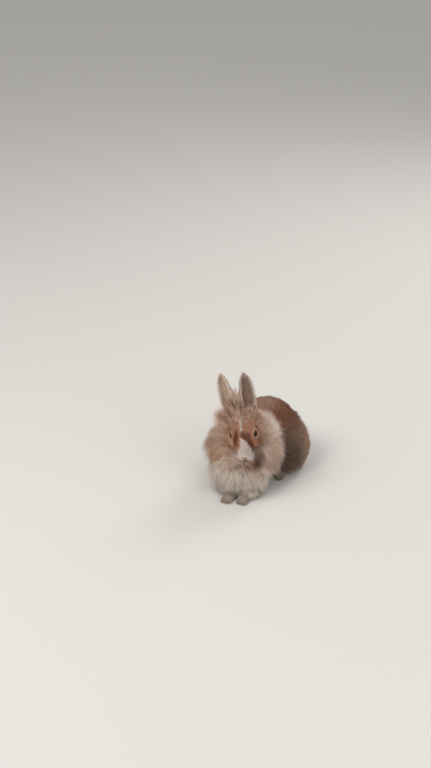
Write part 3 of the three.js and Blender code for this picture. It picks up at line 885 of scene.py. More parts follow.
def face_furrows(points, normals):
    """Presses the cleft, the line of the mouth and the nostrils into the skin, each by its depth
    times exp(-(distance / width)^2)."""
    place = in_head(points)
    front = np.nonzero(place[:, 1] < -20)[0]
    here, out = place[front], normals[front] @ HEAD_TURN
    aim = unit(here - (0, -32, -11.0))

    def through(*stops):
        """The skin's points nearest to directions from the muzzle's heart, run between stops."""
        share = np.linspace(0, len(stops) - 1, 40)
        way = [np.interp(share, range(len(stops)), values) for values in zip(*stops)]
        return here[np.argmax(aim @ unit(np.stack(way, axis=1)).T, axis=0)]

    depth = 1.1 * near_curve(here, through((0, -1, 0.05), (0, -1, -0.35), (0, -1, -0.8)), 0.8)
    for side in SIDES.values():
        lip = through((0, -1, -0.72), (side * 0.5, -1, -0.8), (side * 1.1, -0.7, -0.78))
        depth = np.maximum(depth, 1.2 * near_curve(here, lip, 0.8))
        local = (here - (side * 3.0, -46.2, -5.6)) @ turn_about(1, side * 32)
        slit = np.exp(-np.sum((local / (2.1, 3.0, 0.8)) ** 2, axis=1))
        depth = np.maximum(depth, 1.7 * slit)
    moved = points.copy()
    moved[front] = from_head(here - out * depth[:, None])
    return moved


def lid_surface(name, side, rows=72, columns=14):
    """A rim carried round an oval on the eyeball: cos(a)(long + t rim), sin(a)(high + t rim) and
    the ball's height there + h rim, with t and h on a circle, and the rim heavier above."""
    a = np.linspace(0, 2 * math.pi, rows, endpoint=False)[:, None]
    b = np.linspace(0, 2 * math.pi, columns, endpoint=False)[None, :]
    long, high = np.cos(a) * LID["long"], np.sin(a) * LID["high"]
    rim = LID["rim"] * (1 + 0.3 * np.maximum(np.sin(a), 0))
    local = (
        np.cos(a) * (LID["long"] + rim * np.cos(b)),
        np.sin(a) * (LID["high"] + rim * np.cos(b)),
        np.sqrt(LID["ball"] ** 2 - long**2 - high**2) + rim * np.sin(b),
    )
    local = np.stack(local, axis=-1).reshape(-1, 3)
    ring, turn = np.arange(rows)[:, None], np.arange(columns)[None, :]
    first, aside, ahead, over = (
        ((ring + on) % rows * columns + (turn + by) % columns).ravel()
        for on, by in ((0, 0), (0, 1), (1, 0), (1, 1))
    )
    faces = np.concatenate((np.stack((first, ahead, over), 1), np.stack((first, over, aside), 1)))
    return eye_centre(name)[0] + local @ eye_axes(side).T, faces


def ear_axes(name):
    """The ear's own frame: its tip towards +Z and its cup open towards -Y."""
    lean = turn_about(0, -EAR["lean"]) @ turn_about(1, EARS[name]["splay"])
    return HEAD_TURN @ lean @ turn_about(2, EARS[name]["turn"])


def ear_surface(name):
    """An ear: a section like a C, its back on an ellipse of the ear's width and depth and its cup
    on a smaller one a wall's thickness inside, carried up a bent line and closed at both ends. With
    it come each point's share of the way up, whether it is in the cup, and how near the rim."""
    own, side = EARS[name], SIDES[name]
    low, high = math.radians(-38), math.radians(218)
    angle, share = tube_grid(EAR_RINGS, EAR_COLUMNS)
    stops = np.linspace(0, 1, len(EAR_WIDTHS))
    past = np.maximum(share - EAR_BLUNT, 0) / (1 - EAR_BLUNT)
    end = np.clip(1 - past**2, 0, 1) ** 0.8
    wide = np.interp(np.minimum(share, EAR_BLUNT), stops, EAR_WIDTHS) * own["full"] * end
    deep = np.interp(np.minimum(share, EAR_BLUNT), stops, EAR_DEPTHS) * end
    half = angle / math.pi
    inner = half >= 1
    way = np.where(inner, high - (half - 1) * (high - low), low + half * (high - low))
    thick = np.where(inner, np.minimum(EAR["wall"], 0.35 * np.minimum(wide, deep)), 0)
    section = (
        (wide - thick) * np.cos(way) - side * EAR["hook"] * share**2,
        (deep - thick) * np.sin(way) + EAR["bend"] * share**2,
        (share - EAR["root"]) * own["length"],
    )
    half[[0, -1]] = 0.5
    rim = np.minimum(np.abs(half - 1), np.minimum(half, 2 - half))
    rim = np.maximum(step(0.12, 0.0, rim), step(0.93, 1.0, share))
    base = (own["across"], EAR["back"], EAR["up"])
    points = from_head(np.stack(section, axis=1) @ (HEAD_TURN.T @ ear_axes(name)).T + base)
    faces = outward_faces(points, grid_faces(EAR_RINGS, EAR_COLUMNS))
    return points, faces, share, inner.astype(float), rim


def in_ear(up):
    """How fully the ear's own colours hold, from the share of the way up it."""
    return step(0.10, 0.3, up)


class RABBIT_OT_skin(bpy.types.Operator):
    """Makes the skin: flesh, ears and lids in one piece, in place of the CAD's nodes of flesh"""

    bl_idname = "rabbit.skin"
    bl_label = "Skin"

    def execute(self, context):
        points, faces = skin_surface()
        points = eye_opening(face_furrows(points, normals_of(points, faces)))
        points[:, 2] = np.maximum(points[:, 2], LOWEST)
        SKIN["flesh"] = (points, faces, normals_of(points, faces))
        surfaces, notes = [(points, faces)], [np.zeros((len(points), 5))]
        for name in SIDES:
            points, faces, up, cup, rim = ear_surface(name)
            SKIN[f"ear_{name}"] = (points, faces, normals_of(points, faces), (up, cup, rim))
            surfaces.append((points, faces))
            notes.append(np.stack((in_ear(up), up, cup, rim, 0 * up), axis=1))
        for name, side in SIDES.items():
            surfaces.append(lid_surface(name, side))
            notes.append(np.tile((0, 0, 0, 0, 1.0), (len(surfaces[-1][0]), 1)))
        points, faces = together(surfaces)
        mesh = new_mesh("skin", points, faces)
        note(mesh, **dict(zip(("ear", "up", "cup", "rim", "lid"), np.concatenate(notes).T)))
        note_places(mesh, points)
        nodes = [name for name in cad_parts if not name.startswith("eye_")]
        new_piece(mesh, new_material("skin", skin_look), "face_fur", nodes)
        return {"FINISHED"}


class RABBIT_OT_eyes(bpy.types.Operator):
    """Makes the two eyeballs, with pupil and iris under a wet coat"""

    bl_idname = "rabbit.eyes"
    bl_label = "Eyes"

    def execute(self, context):
        material = new_material("eye", eye_look)
        directions = ball_grid(48, 64)
        off_axis = np.arccos(np.clip(directions[:, 2], -1, 1))
        cornea = 1 + 0.035 * np.exp(-((off_axis / 0.6) ** 2))
        for name, side in SIDES.items():
            centre, radius = eye_centre(name)
            ball = (directions * cornea[:, None] * (radius - 0.2)) @ eye_axes(side).T
            faces = outward_faces(ball, grid_faces(48, 64))
            mesh = new_mesh(f"eyeball_{name}", centre + ball, faces)
            note(mesh, off_axis=off_axis)
            new_piece(mesh, material, "eye", [f"eye_{name}"])
        return {"FINISHED"}


# The coat


def scattered(surface, count, rng):
    """Points spread evenly over a surface: equal steps along the running sum of the faces' areas,
    each at a random place in its face, with the normal there, its face and its corners' weights."""
    points, faces, normals = surface
    a, b, c = (points[faces[:, k]] for k in range(3))
    running = np.cumsum(np.linalg.norm(np.cross(b - a, c - a), axis=1))
    picks = (np.arange(count) + rng.random(count)) / count * running[-1]
    face = faces[np.minimum(np.searchsorted(running, picks), len(faces) - 1)]
    u, v = rng.random(count), rng.random(count)
    fold = u + v > 1
    u[fold], v[fold] = 1 - u[fold], 1 - v[fold]
    weights = np.stack((1 - u - v, u, v), axis=1)
    root = np.sum(points[face] * weights[:, :, None], axis=1)
    normal = unit(np.sum(normals[face] * weights[:, :, None], axis=1))
    return root, normal, face, weights


def gathered(points, width, rng):
    """The middle of the clump that each point belongs to, from the cell that it falls in on a wavy
    grid, and four chances of that clump."""
    wave = [np.sin(points[:, (k + 1) % 3] / width * 0.9 + k) for k in range(3)]
    cell = np.floor((points + 0.45 * width * np.stack(wave, axis=1)) / width).astype(int)
    clump = np.unique(cell, axis=0, return_inverse=True)[1].ravel()
    total = np.bincount(clump)
    middle = np.stack([np.bincount(clump, points[:, k]) / total for k in range(3)], axis=1)
    return middle[clump], rng.random((len(total), 4))[clump]


def tuft_faces(rings):
    """The triangles of one tuft: its root, the bands between its rings, and its tip."""
    last, faces = 3 * (rings - 1), [(0, 1, 2)]
    for low in range(0, last, 3):
        for a, b in ((low, low + 1), (low + 1, low + 2), (low + 2, low)):
            faces += [(a, b + 3, b), (a, a + 3, b + 3)]
    faces += [(last + corner, last + 3, last + (corner + 1) % 3) for corner in range(3)]
    return np.array(faces)


def tuft_mesh(name, root, normal, lie, length, width, shape, rng):
    """Tufts: each a thin closed spike of three sides along (1-s)^2 start + 2s(1-s) knee + s^2 tip,
    with its half-width times 1 - s^1.6, bent aside by a wave sin(pi s) and drawn to its clump's
    middle. What reaches past the sides by d is pressed in to give (1 - exp(-d / give))."""
    count, rings = len(root), shape["rings"]
    middle, chance = gathered(root, shape["clump"], rng)
    long = (length * (0.72 + 0.45 * rng.random(count)) * (0.86 + 0.28 * chance[:, 0]))[:, None]
    side = unit(np.cross(normal, lie))
    across = (chance[:, 1] - 0.5) * 1.5 + (rng.random(count) - 0.5)
    over = 0.5 * (rng.random(count) - 0.5)
    lean = shape["lean"]
    lie = unit(lie + side * lean * across[:, None] + normal * lean * over[:, None])
    start = root - normal * shape["sink"]
    knee = root + lie * long * 0.45 + normal * long * shape["lift"]
    tip = root + lie * long + DOWN * long * shape["droop"]
    tip = tip + flat(middle - root, normal) * shape["gather"]
    bend = side * (shape["wave"] * (rng.random(count) - 0.5) * 2)[:, None] * long
    share = np.linspace(0, 1, rings + 1)
    per = 3 * rings + 1
    vertices = np.empty((count, per, 3))
    for k, s in enumerate(share):
        at = (1 - s) ** 2 * start + 2 * s * (1 - s) * knee + s**2 * tip
        at = at + math.sin(math.pi * s) * bend
        along = unit(2 * (1 - s) * (knee - start) + 2 * s * (tip - knee))
        across = unit(np.cross(along, normal + 0.02 * side))
        over = np.cross(across, along)
        half = np.reshape(width * (1 - s**1.6) * (0.75 + 0.25 * min(1, 4 * s)) / 2, (-1, 1))
        for corner in range(3 if k < rings else 1):
            angle = math.pi / 2 + corner * 2 * math.pi / 3
            offset = across * math.cos(angle) + over * math.sin(angle) * 0.6
            vertices[:, 3 * k + corner] = at + half * offset
    vertices[:, :, 2] = np.maximum(vertices[:, :, 2], LOWEST)
    wide = np.maximum(np.abs(vertices[:, :, 0]) - SIDE_REACH, 0)
    pressed = wide - SIDE_GIVE * (1 - np.exp(-wide / SIDE_GIVE))
    vertices[:, :, 0] -= np.sign(vertices[:, :, 0]) * pressed
    one = outward_faces(vertices[0] - vertices[0].mean(axis=0), tuft_faces(rings))
    faces = (one[None] + (np.arange(count) * per)[:, None, None]).reshape(-1, 3)
    points = vertices.reshape(-1, 3)
    mesh = new_mesh(name, points, faces)
    along = np.tile(np.append(np.repeat(share[:-1], 3), 1.0), count)
    follow = shape["follow"]
    note_places(mesh, np.repeat(root, per, axis=0) * (1 - follow) + points * follow)
    note(mesh, share=along)
    note(mesh, chance=np.repeat(0.5 * chance[:, 2] + 0.5 * rng.random(count), per))
    return mesh, per, along


def unwrapped(mesh, chart, per, along):
    """The map named OFBake: each tuft a patch 0.003 across at its root's place on the chart, with
    its length up the patch and its sides across."""
    corner = np.tile(np.append(np.tile((0.0, 0.5, 1.0), per // 3), 0.5), len(chart))
    patch = np.repeat(np.clip(chart, 0.003, 0.994), per, axis=0)
    patch = (patch + 0.003 * np.stack((corner, along), axis=1)).astype(np.float32)
    mesh.uv_layers.new(name="OFBake").data.foreach_set("uv", patch[corners_of(mesh)].ravel())


def globe(points, centre, axes=np.eye(3)):
    """Longitude and latitude about a centre, each as a share of its range."""
    local = unit((points - centre) @ axes)
    east = np.arctan2(local[:, 0], -local[:, 1]) / (2 * math.pi) + 0.5
    north = np.arcsin(np.clip(local[:, 2], -1, 1)) / math.pi + 0.5
    return np.stack((east, north), axis=1)


def barrel(points, middle, length):
    """Angle about the body's length, and the share of the way along it."""
    turn = np.arctan2(points[:, 0], points[:, 2] - 60) / (2 * math.pi) + 0.5
    return np.stack((turn, (points[:, 1] - middle) / length + 0.5), axis=1)


# Kinds of tuft: clump is a width and sink a depth; wave, lift and droop are shares of the length;
# lean and gather are how far it strays and comes to its clump; and follow is how far the place that
# its colour is read at goes along with it
SHORT = dict(rings=2, clump=5.0, lean=0.35, sink=1.2, lift=0.16, droop=0.0)
SHORT.update(gather=0.25, wave=0.04, follow=0.0)
WOOL = dict(rings=3, clump=8.0, lean=0.34, sink=2.0, lift=0.2, droop=0.08)
WOOL.update(gather=0.55, wave=0.07, follow=0.55)


def head_angles(root):
    """How far round from the nose's direction a root lies, and how near the crown, in degrees."""
    local = unit(in_head(root))
    return degrees_from(local, (0, -1, 0)), degrees_from(local, towards(0, 0.4, 1.0))


def owner(root):
    """The group of flesh that each root belongs to, as its number in the list of groups. A foreleg
    above the paw lies under the bib, and belongs to it."""
    values = groups(root)
    for name in ("paw_left", "paw_right"):
        values[name] = values[name] + 14 * step(12, 22, root[:, 2])
    return np.argmin(np.stack(list(values.values())), axis=0)


def roots(names, count, seed, extra=None):
    """Even roots on the groups with these names, about count of them, where extra holds."""
    points, faces, normals = SKIN["flesh"]
    middles = points[faces].mean(axis=1)
    if "owner" not in SKIN:
        SKIN["owner"] = owner(middles)
    chosen = np.isin(SKIN["owner"], [list(FORMS).index(name) for name in names])
    if extra is not None:
        chosen &= extra(middles)
    rng = np.random.default_rng(seed)
    surface = (points, faces[chosen], normals)
    return *scattered(surface, tuft_count(count), rng)[:2], rng


def add_coat(name, slot, root, normal, lie, length, width, shape, chart, rng, ears=None):
    """One coat piece from its tufts' arrays."""
    mesh, per, along = tuft_mesh(name, root, normal, lie, length, width, shape, rng)
    unwrapped(mesh, chart, per, along)
    for key, values in (ears or {}).items():
        note(mesh, **{key: np.repeat(values, per)})
    wanted = "ear_coat" if ears else "coat"
    made = bpy.data.materials.get(wanted)
    made = made or new_material(wanted, lambda wire: fur_look(wire, bool(ears)))
    new_piece(mesh, made, slot)


class RABBIT_OT_face_fur(bpy.types.Operator):
    """Adds the short fur of the face, which spreads from the nose backwards"""

    bl_idname = "rabbit.face_fur"
    bl_label = "Face fur"

    def execute(self, context):
        def front(points):
            from_nose, crown = head_angles(points)
            return (from_nose < 98) & (crown > 30)

        root, normal, rng = roots(["head"], TUFTS["face"], 3, front)
        nose = distance(in_head(root), (0, -46, -5.5))
        keep = (nose > 5.2) & (lid_share(root) > 1.3)
        root, normal, nose = root[keep], normal[keep], nose[keep]
        from_nose, _ = head_angles(root)
        away = unit(root - from_head(np.array((0, -50, -3.0))))
        lie = unit(flat(away + 0.15 * DOWN, normal))
        lie = unit(lie + normal * (0.2 + 0.1 * step(50, 95, from_nose))[:, None])
        length = size("face_length") * (0.42 + 0.58 * step(6, 26, nose))
        length *= 0.3 + 0.7 * step(8.5, 16, eye_distance(root))
        length *= 1 + 0.9 * step(60, 95, from_nose)
        width = 0.55 + 0.25 * step(8, 30, nose)
        shape = dict(SHORT, clump=3.0, sink=0.7, lean=0.25, lift=0.1)
        chart = globe(root, HEAD_CENTRE, HEAD_TURN)
        add_coat("face_coat", "face_fur", root, normal, lie, length, width, shape, chart, rng)
        return {"FINISHED"}


class RABBIT_OT_ruff(bpy.types.Operator):
    """Adds the crest on the crown and the long wool behind the cheeks"""

    bl_idname = "rabbit.ruff"
    bl_label = "Crest and cheek wool"

    def execute(self, context):
        def behind(points):
            from_nose, crown = head_angles(points)
            return (from_nose > 70) | (crown < 40)

        root, normal, rng = roots(["head"], TUFTS["ruff"], 5, behind)
        keep = eye_distance(root) > 12
        root, normal = root[keep], normal[keep]
        from_nose, crown = head_angles(root)
        x, y, z = in_head(root).T
        crest = step(58, 40, crown) * step(7, 17, y)
        brow = step(66, 46, crown) * (1 - crest)
        high, near_ears, aside = step(2, 17, z), step(10, 26, y), step(-12, -20, x)

        def col(values):
            """Numbers as one column, to multiply directions by."""
            return values[:, None]

        fall = unit(flat(HEAD_TURN @ np.array((0, 1.0, 0)), normal))
        cheek = col(0.45 - 0.2 * high) * fall + col(0.45 + 0.45 * high) * normal
        cheek = unit(cheek + col(0.4 * (1 - high)) * flat(DOWN, normal))
        swept = unit(fall + 0.3 * normal)
        up = np.array((0, 0.3, 1.0)) + col(near_ears) * (0, 0.4, 0)
        up = unit(up + col(aside) * (-0.9, 0, -0.2)) @ HEAD_TURN.T
        stand = unit(0.9 * up + 0.45 * normal)
        lie = unit(cheek * col(1 - crest - brow) + swept * col(brow) + stand * col(crest))
        rear = step(2, 12, y) * step(-14, 0, z)
        raised = towards(-0.6, 0.4, 0.7) @ HEAD_TURN.T
        nape = 0.8 * rear * step(-8, -20, x) * (1 - crest) * (1 - step(28, 44, y))
        lie = unit(lie + (raised - lie) * col(nape))

        length = 9 + (25 + 7 * high) * step(70, 98, from_nose)
        length = length * (1 - brow) + 8.5 * brow
        length *= 1 - 0.42 * rear * step(6, 18, x)
        tall = 0.75 + (0.9 * step(4, -6, x) - 0.5 * aside - 0.2) * near_ears
        length = length * (1 - crest) + tall * size("crest_length") * crest
        length *= 0.35 + 0.65 * step(12, 24, eye_distance(root))
        width = 0.75 + 0.35 * step(80, 110, from_nose)
        shape = dict(WOOL, clump=6.0, lean=0.4)
        chart = globe(root, HEAD_CENTRE, HEAD_TURN)
        add_coat("ruff_coat", "face_fur", root, normal, lie, length, width, shape, chart, rng)
        return {"FINISHED"}


def hang_wool(name, slot, tufts, form, axis, ways, length, width, shape):
    """One coat of wool. It runs away from an axis through its form's middle by the first of its
    ways, stands off the skin by the second and hangs by the third. Under the chin it turns forwards
    and is shorter: fully within 12 mm of the throat's middle, and not at all beyond 30 mm."""
    (root, normal, rng), centre, (fall, stand, drop) = tufts, form[0], ways
    along = unit(flat(flat(-axis, unit(root - centre)) + 1e-6, normal))
    lie = unit(along * fall + normal * stand[:, None] + flat(DOWN, normal) * drop)
    near = step(30, 12, distance(root, (10, -34, 84)))
    raised = unit(normal + (0.1, -0.5, -0.1))
    lie = unit(lie * (1 - near)[:, None] + raised * near[:, None])
    length = length * (1 - 0.4 * near)
    chart = globe(root, centre, MANE_TURN)
    add_coat(name, slot, root, normal, lie, length, width, shape, chart, rng)


class RABBIT_OT_mane(bpy.types.Operator):
    """Adds the mane, which falls outwards from the face and down over the shoulders"""

    bl_idname = "rabbit.mane"
    bl_label = "Mane"

    def execute(self, context):
        axis = MANE_TURN @ towards(0, -0.62, 0.78)
        for name, side in SIDES.items():

            def half(points, side=side):
                return (points[:, 0] - MANE[0, 0]) * side >= 0

            tufts = roots(["mane"], TUFTS["mane"], 11 + side, half)
            root, normal, _ = tufts
            angle = degrees_from(unit(root - MANE[0]), axis)
            stand = 0.55 - 0.15 * step(40, 70, angle) + 0.1 * step(0.1, 0.8, normal[:, 1])
            ways = (0.55, stand, 0.45)
            length = size("mane_length") * (0.8 + 0.2 * step(30, 60, angle))
            length *= 1 + 0.1 * step(0, -0.8, normal[:, 0]) * step(92, 112, root[:, 2])
            piece = f"mane_coat_{name}"
            hang_wool(piece, "mane_wool", tufts, MANE, axis, ways, length, 1.22, WOOL)
        return {"FINISHED"}


class RABBIT_OT_bib(bpy.types.Operator):
    """Adds the bib, which hangs over the chest to the forepaws"""

    bl_idname = "rabbit.bib"
    bl_label = "Bib"

    def execute(self, context):
        axis = MANE_TURN @ towards(0, -0.5, 0.86)
        tufts = roots(["bib"], TUFTS["bib"], 23)
        x, _, z = tufts[0].T
        ways = (0.3, 0.12 + 0.16 * step(70, 40, z), 0.8)
        length = size("bib_length") * (0.52 + 0.48 * step(6, 46, z))
        length *= 1 + 0.16 * step(-10, 40, x)
        shape = dict(WOOL, droop=0.03, clump=6.5, gather=0.35)
        hang_wool("bib_coat", "bib_wool", tufts, BIB, axis, ways, length, 1.15, shape)
        return {"FINISHED"}


def body_lie(normal):
    """The body's lie: backwards, down the sides and down over the rump."""
    flow = np.zeros_like(normal)
    flow[:, 1] = 1
    flow[:, 2] = -0.2 - 0.9 * np.maximum(normal[:, 1], 0) - 0.4 * np.abs(normal[:, 0])
    return unit(flat(flow, normal))


class RABBIT_OT_body_fur(bpy.types.Operator):
    """Adds the fur of the back, the two flanks and the belly"""

    bl_idname = "rabbit.body_fur"
    bl_label = "Body fur"

    def execute(self, context):
        def low(points):
            return points[:, 2] <= BACK_EDGE

        flank = TUFTS["flank"]
        parts = (
            ("back_coat", "saddle_fur", TUFTS["back"], 31, lambda p: ~low(p)),
            ("flank_coat_left", "haunch_fur", flank, 32, lambda p: low(p) & (p[:, 0] >= 0)),
            ("flank_coat_right", "haunch_fur", flank, 33, lambda p: low(p) & (p[:, 0] < 0)),
        )
        for name, slot, count, seed, extra in parts:
            root, normal, rng = roots(["trunk"], count, seed, extra)
            bridge = step(32, 12, distance(np.abs(root), (50, 114, 82)))
            lie = unit(body_lie(normal) + (0.28 + 0.4 * bridge)[:, None] * normal)
            length = size("body_length") * (1 + 0.35 * step(70, 30, root[:, 2]) + 0.3 * bridge)
            length *= 0.55 + 0.45 * step(4, 22, root[:, 2])
            chart = barrel(root, 80, 180)
            add_coat(name, slot, root, normal, lie, length, 1.16, SHORT, chart, rng)
        return {"FINISHED"}


class RABBIT_OT_limb_fur(bpy.types.Operator):
    """Adds the short fur of the forelegs and hind feet, and the tuft of the tail"""

    bl_idname = "rabbit.limb_fur"
    bl_label = "Limb and tail fur"

    def execute(self, context):
        names = [name for name in FORMS if name.startswith(("paw", "foot"))]
        root, normal, rng = roots(names, TUFTS["limb"], 51, lambda p: p[:, 2] > 2.5)
        toes = step(16, 7, root[:, 2])[:, None]
        flow = np.array((0, -0.3, -1.0)) * (1 - toes) + np.array((0, -1.0, -0.25)) * toes
        flow = np.where(root[:, 1:2] > 20, (0, -1.0, -0.3), flow)
        lie = unit(unit(flat(flow, normal)) + 0.24 * normal)
        length = 5.2 + 2.6 * step(8, 34, root[:, 2])
        shape = dict(SHORT, clump=3.0, sink=0.7, lean=0.25)
        half = np.arctan2(normal[:, 0], normal[:, 2]) / 6.4 + 0.5
        tile = (root[:, 0] > 0) * 0.5 + 0.5 * half
        chart = np.stack((tile * 0.98, (root[:, 1] + 70) / 220), axis=1)
        add_coat("limb_coat", "foot_fur", root, normal, lie, length, 0.8, shape, chart, rng)

        root, normal, rng = roots(["tail"], TUFTS["tail"], 53)
        lie = unit(unit(flat((0, 0.25, 1.0), normal)) + 0.45 * normal)
        shape = dict(WOOL, clump=5.0, droop=0.0, follow=0.0)
        chart = globe(root, TAIL[0])
        add_coat("tail_coat", "haunch_fur", root, normal, lie, 16.0, 0.95, shape, chart, rng)
        return {"FINISHED"}


class RABBIT_OT_ear_fur(bpy.types.Operator):
    """Adds the ears' fur: short on the back, sparse in the cup and woolly along the rim"""

    bl_idname = "rabbit.ear_fur"
    bl_label = "Ear fur"

    def execute(self, context):
        for name, side in SIDES.items():
            *surface, notes = SKIN[f"ear_{name}"]
            points = surface[0]
            rng = np.random.default_rng(60 + side)
            root, normal, face, weights = scattered(surface, tuft_count(TUFTS["ear"]), rng)
            up, cup, rim = (np.sum(values[face] * weights, axis=1) for values in notes)
            keep = (up > 0.14) & ((cup < 0.5) | (rng.random(len(root)) < 0.75))
            root, normal, up, cup, rim = (v[keep] for v in (root, normal, up, cup, rim))
            right, _, tip = ear_axes(name).T
            ring = np.minimum((up * EAR_RINGS).astype(int), EAR_RINGS - 2)
            spine = points[ring * EAR_COLUMNS + 1 + EAR_COLUMNS // 4]
            outward = unit(flat(root - spine, tip))
            lie = unit(flat(tip, normal))
            lie = unit(lie + 0.2 * normal + outward * (0.6 * rim)[:, None])
            length = 4.4 + 5 * rim + 6 * step(0.5, 0.15, up) + 2.0 * cup
            length *= 1 - 0.35 * step(0.85, 1, up)
            width = 0.62 + 0.2 * rim
            shape = dict(SHORT, clump=4.0, sink=0.6, lean=0.3)
            across = (root - points.mean(axis=0)) @ right
            chart = np.stack((0.25 + np.clip(cup, 0, 1) * 0.5 + across / 80, up), axis=1)
            ears = {"ear": in_ear(up), "up": up, "cup": cup, "rim": rim}
            piece = f"ear_coat_{name}"
            add_coat(piece, "ear_fur", root, normal, lie, length, width, shape, chart, rng, ears)
        return {"FINISHED"}


# Whiskers and claws


def whisker(start, aim, length, thick):
    """A hair: start + aim L s, drooping by L s^2 / 6, as a tube whose radius falls to nothing."""
    across = unit(np.cross(aim, (0, 0, 1.0)))
    over = np.cross(across, aim)

    def place(angle, share):
        radius = thick * np.where((share > 0) & (share < 1), 1.0 - 0.9 * share, 0)
        middle = start - 1.5 * aim + aim * length * share
        middle = middle + np.array((0, 0.05, -1.0)) * length * share**2 / 6
        return middle + radius * (across * np.cos(angle) + over * np.sin(angle))

    points, faces = tube(9, 5, place)
    return from_head(points), faces


def claw(start, splay, length):
    """A horn: forward by L s and down by L s^2 / 2. Its radius falls as the root of 1 - s."""

    def place(angle, share):
        radius = 0.9 * np.sqrt(np.maximum(1 - share, 0)) * (share > 0)
        middle = start + np.array((splay, -1.0, 0.05)) * length * share
        middle = middle + 0.5 * DOWN * length * share**2
        ring = np.concatenate((np.cos(angle) * 0.75, 0 * angle, np.sin(angle)), axis=-1)
        return middle + radius * ring

    points, faces = tube(10, 10, place)
    points[:, 2] = np.maximum(points[:, 2], LOWEST)
    return points, faces


class RABBIT_OT_whiskers(bpy.types.Operator):
    """Adds the whiskers, in rows on each whisker pad, and those of the brow"""

    bl_idname = "rabbit.whiskers"
    bl_label = "Whiskers"

    def execute(self, context):
        rng = np.random.default_rng(71)
        surfaces = []
        for side in SIDES.values():
            for row in range(3):
                for column in range(4):
                    start = (side * (8.5 + 1.6 * column), -41 + 4.2 * column, -9.5 - 2.8 * row)
                    aim = towards(side, -0.3 + 0.2 * column, 0.36 - 0.22 * row)
                    surfaces.append(whisker(start, aim, 30 + 4 * column + 6 * rng.random(), 0.15))
            for brow in range(2):
                start = (side * (16 + 1.5 * brow), -10 + 3 * brow, 18.5)
                aim = towards(side * 0.55, -0.35 + 0.3 * brow, 0.8)
                surfaces.append(whisker(start, aim, 17, 0.11))
        look = {"Base Color": (0.62, 0.56, 0.5, 1), "Roughness": 0.35}
        mesh = new_mesh("whiskers", *together(surfaces))
        new_piece(mesh, new_material("whisker", lambda wire: look), "face_fur")
        return {"FINISHED"}


class RABBIT_OT_claws(bpy.types.Operator):
    """Adds the claws of all four feet"""

    bl_idname = "rabbit.claws"
    bl_label = "Claws"

    def execute(self, context):
        surfaces = []
        for side in SIDES.values():
            x, y, _ = paw_middle(side)
            fore = toe_places(x, y - 18.2, *FORE_TOES)
            hind = toe_places(side * HEEL[0], TOE_LINE - 7.4, *HIND_TOES)
            for number in range(4):
                splay = (number - 1.5) * 0.05
                surfaces.append(claw((*fore[number], 5.0), splay, 5.0))
                surfaces.append(claw((*hind[number], 5.4), splay, 5.6))
        mesh = new_mesh("claws", *together(surfaces))
        new_piece(mesh, new_material("claw", claw_look), "foot_fur")
        return {"FINISHED"}


# Floor, lights and camera

FLOOR_REACH = 30.0
LAMPS = (  # name, place, width, power and colour
    ("key", (-0.9, -1.3, 1.9), 1.2, 32, (1.0, 0.965, 0.92)),
    ("fill", (1.6, -0.9, 1.1), 1.4, 12, (1.0, 0.98, 0.95)),
    ("rear", (0.5, 1.6, 1.5), 1.0, 14, (1.0, 0.97, 0.93)),
)
LIT_PLACE = Vector((0, 0, 0.08))
CAMERA_PLACE = np.array((634.94, -1630.38, 1094.59))  # in the body's own frame
CAMERA_TURN, CAMERA_PITCH = 23, 27
FOCAL_LENGTH, PHOTO_HEIGHT = 1170, 768  # in pixels of the photograph
SENSOR = 36


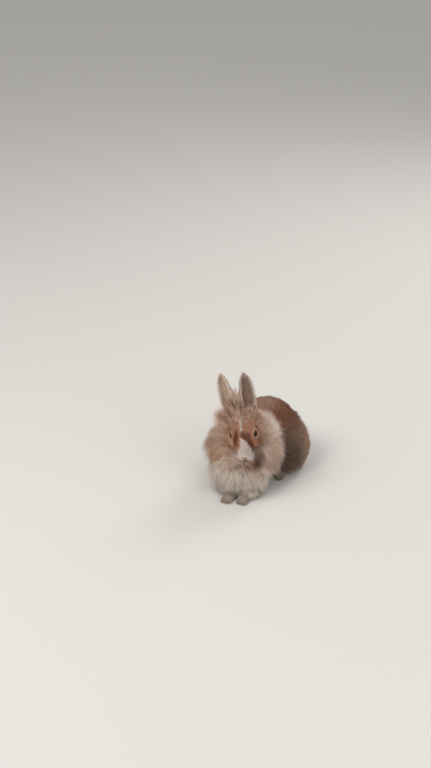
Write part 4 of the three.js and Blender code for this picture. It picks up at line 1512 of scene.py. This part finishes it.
class RABBIT_OT_stage(bpy.types.Operator):
    """Sets the floor, the soft lights and the camera at the photograph's angle"""

    bl_idname = "rabbit.stage"
    bl_label = "Floor, lights and camera"

    def execute(self, context):
        scene = context.scene
        mesh = bpy.data.meshes.new("floor")
        corners = [(-1, -1, 0), (1, -1, 0), (1, 1, 0), (-1, 1, 0)]
        corners = [[FLOOR_REACH * value for value in corner] for corner in corners]
        mesh.from_pydata(corners, [], [(0, 1, 2, 3)])
        look = {"Base Color": (0.62, 0.61, 0.59, 1), "Roughness": 0.85}
        mesh.materials.append(new_material("floor", lambda wire: look))
        placed("floor", mesh)

        world = bpy.data.worlds.new("studio")
        scene.world = world
        world.use_nodes = True
        inputs = world.node_tree.nodes["Background"].inputs
        inputs[0].default_value, inputs[1].default_value = (1.0, 0.985, 0.965, 1), 0.55
        for name, place, width, power, colour in LAMPS:
            lamp = bpy.data.lights.new(name, "AREA")
            lamp.size, lamp.energy, lamp.color = width, power, colour
            placed(name, lamp, LIT_PLACE - Vector(place)).location = place

        lens = bpy.data.cameras.new("camera")
        lens.sensor_width = SENSOR
        lens.lens = SENSOR * FOCAL_LENGTH / PHOTO_HEIGHT
        lens.clip_start = 0.01
        turn, pitch = math.radians(CAMERA_TURN), math.radians(CAMERA_PITCH)
        level = math.cos(pitch)
        way = Vector((-math.sin(turn) * level, math.cos(turn) * level, -math.sin(pitch)))
        camera = placed("camera", lens, way)
        camera.location = to_part(CAMERA_PLACE).tolist()
        scene.camera = camera
        scene.view_settings.view_transform = "Standard"
        return {"FINISHED"}


# The panel

STEPS = (RABBIT_OT_stage, RABBIT_OT_skin, RABBIT_OT_eyes, RABBIT_OT_face_fur, RABBIT_OT_ruff)
STEPS += (RABBIT_OT_mane, RABBIT_OT_bib, RABBIT_OT_body_fur, RABBIT_OT_limb_fur)
STEPS += (RABBIT_OT_ear_fur, RABBIT_OT_whiskers, RABBIT_OT_claws)


class VIEW3D_PT_rabbit(bpy.types.Panel):
    """Lists the rabbit's pieces and its sizes and colours"""

    bl_label = "Lionhead rabbit"
    bl_idname = "VIEW3D_PT_rabbit"
    bl_space_type = "VIEW_3D"
    bl_region_type = "UI"
    bl_category = "Rabbit"

    def draw(self, context):
        column = self.layout.column()
        for settings in (context.scene.rabbit_sizes, context.scene.rabbit_colours):
            for name in settings.bl_rna.properties.keys():
                if name not in ("rna_type", "name"):
                    column.prop(settings, name)
        for operator in STEPS:
            column.operator(operator.bl_idname)


CLASSES = (RabbitSizes, RabbitColours, *STEPS, VIEW3D_PT_rabbit)


def register():
    for made in CLASSES:
        bpy.utils.register_class(made)
    bpy.types.Scene.rabbit_sizes = bpy.props.PointerProperty(type=RabbitSizes)
    bpy.types.Scene.rabbit_colours = bpy.props.PointerProperty(type=RabbitColours)


def unregister():
    del bpy.types.Scene.rabbit_colours
    del bpy.types.Scene.rabbit_sizes
    for made in reversed(CLASSES):
        bpy.utils.unregister_class(made)


def main():
    register()
    for operator in STEPS:
        family, name = operator.bl_idname.split(".")
        getattr(getattr(bpy.ops, family), name)()
    bpy.context.view_layer.update()


if __name__ == "__main__":
    main()
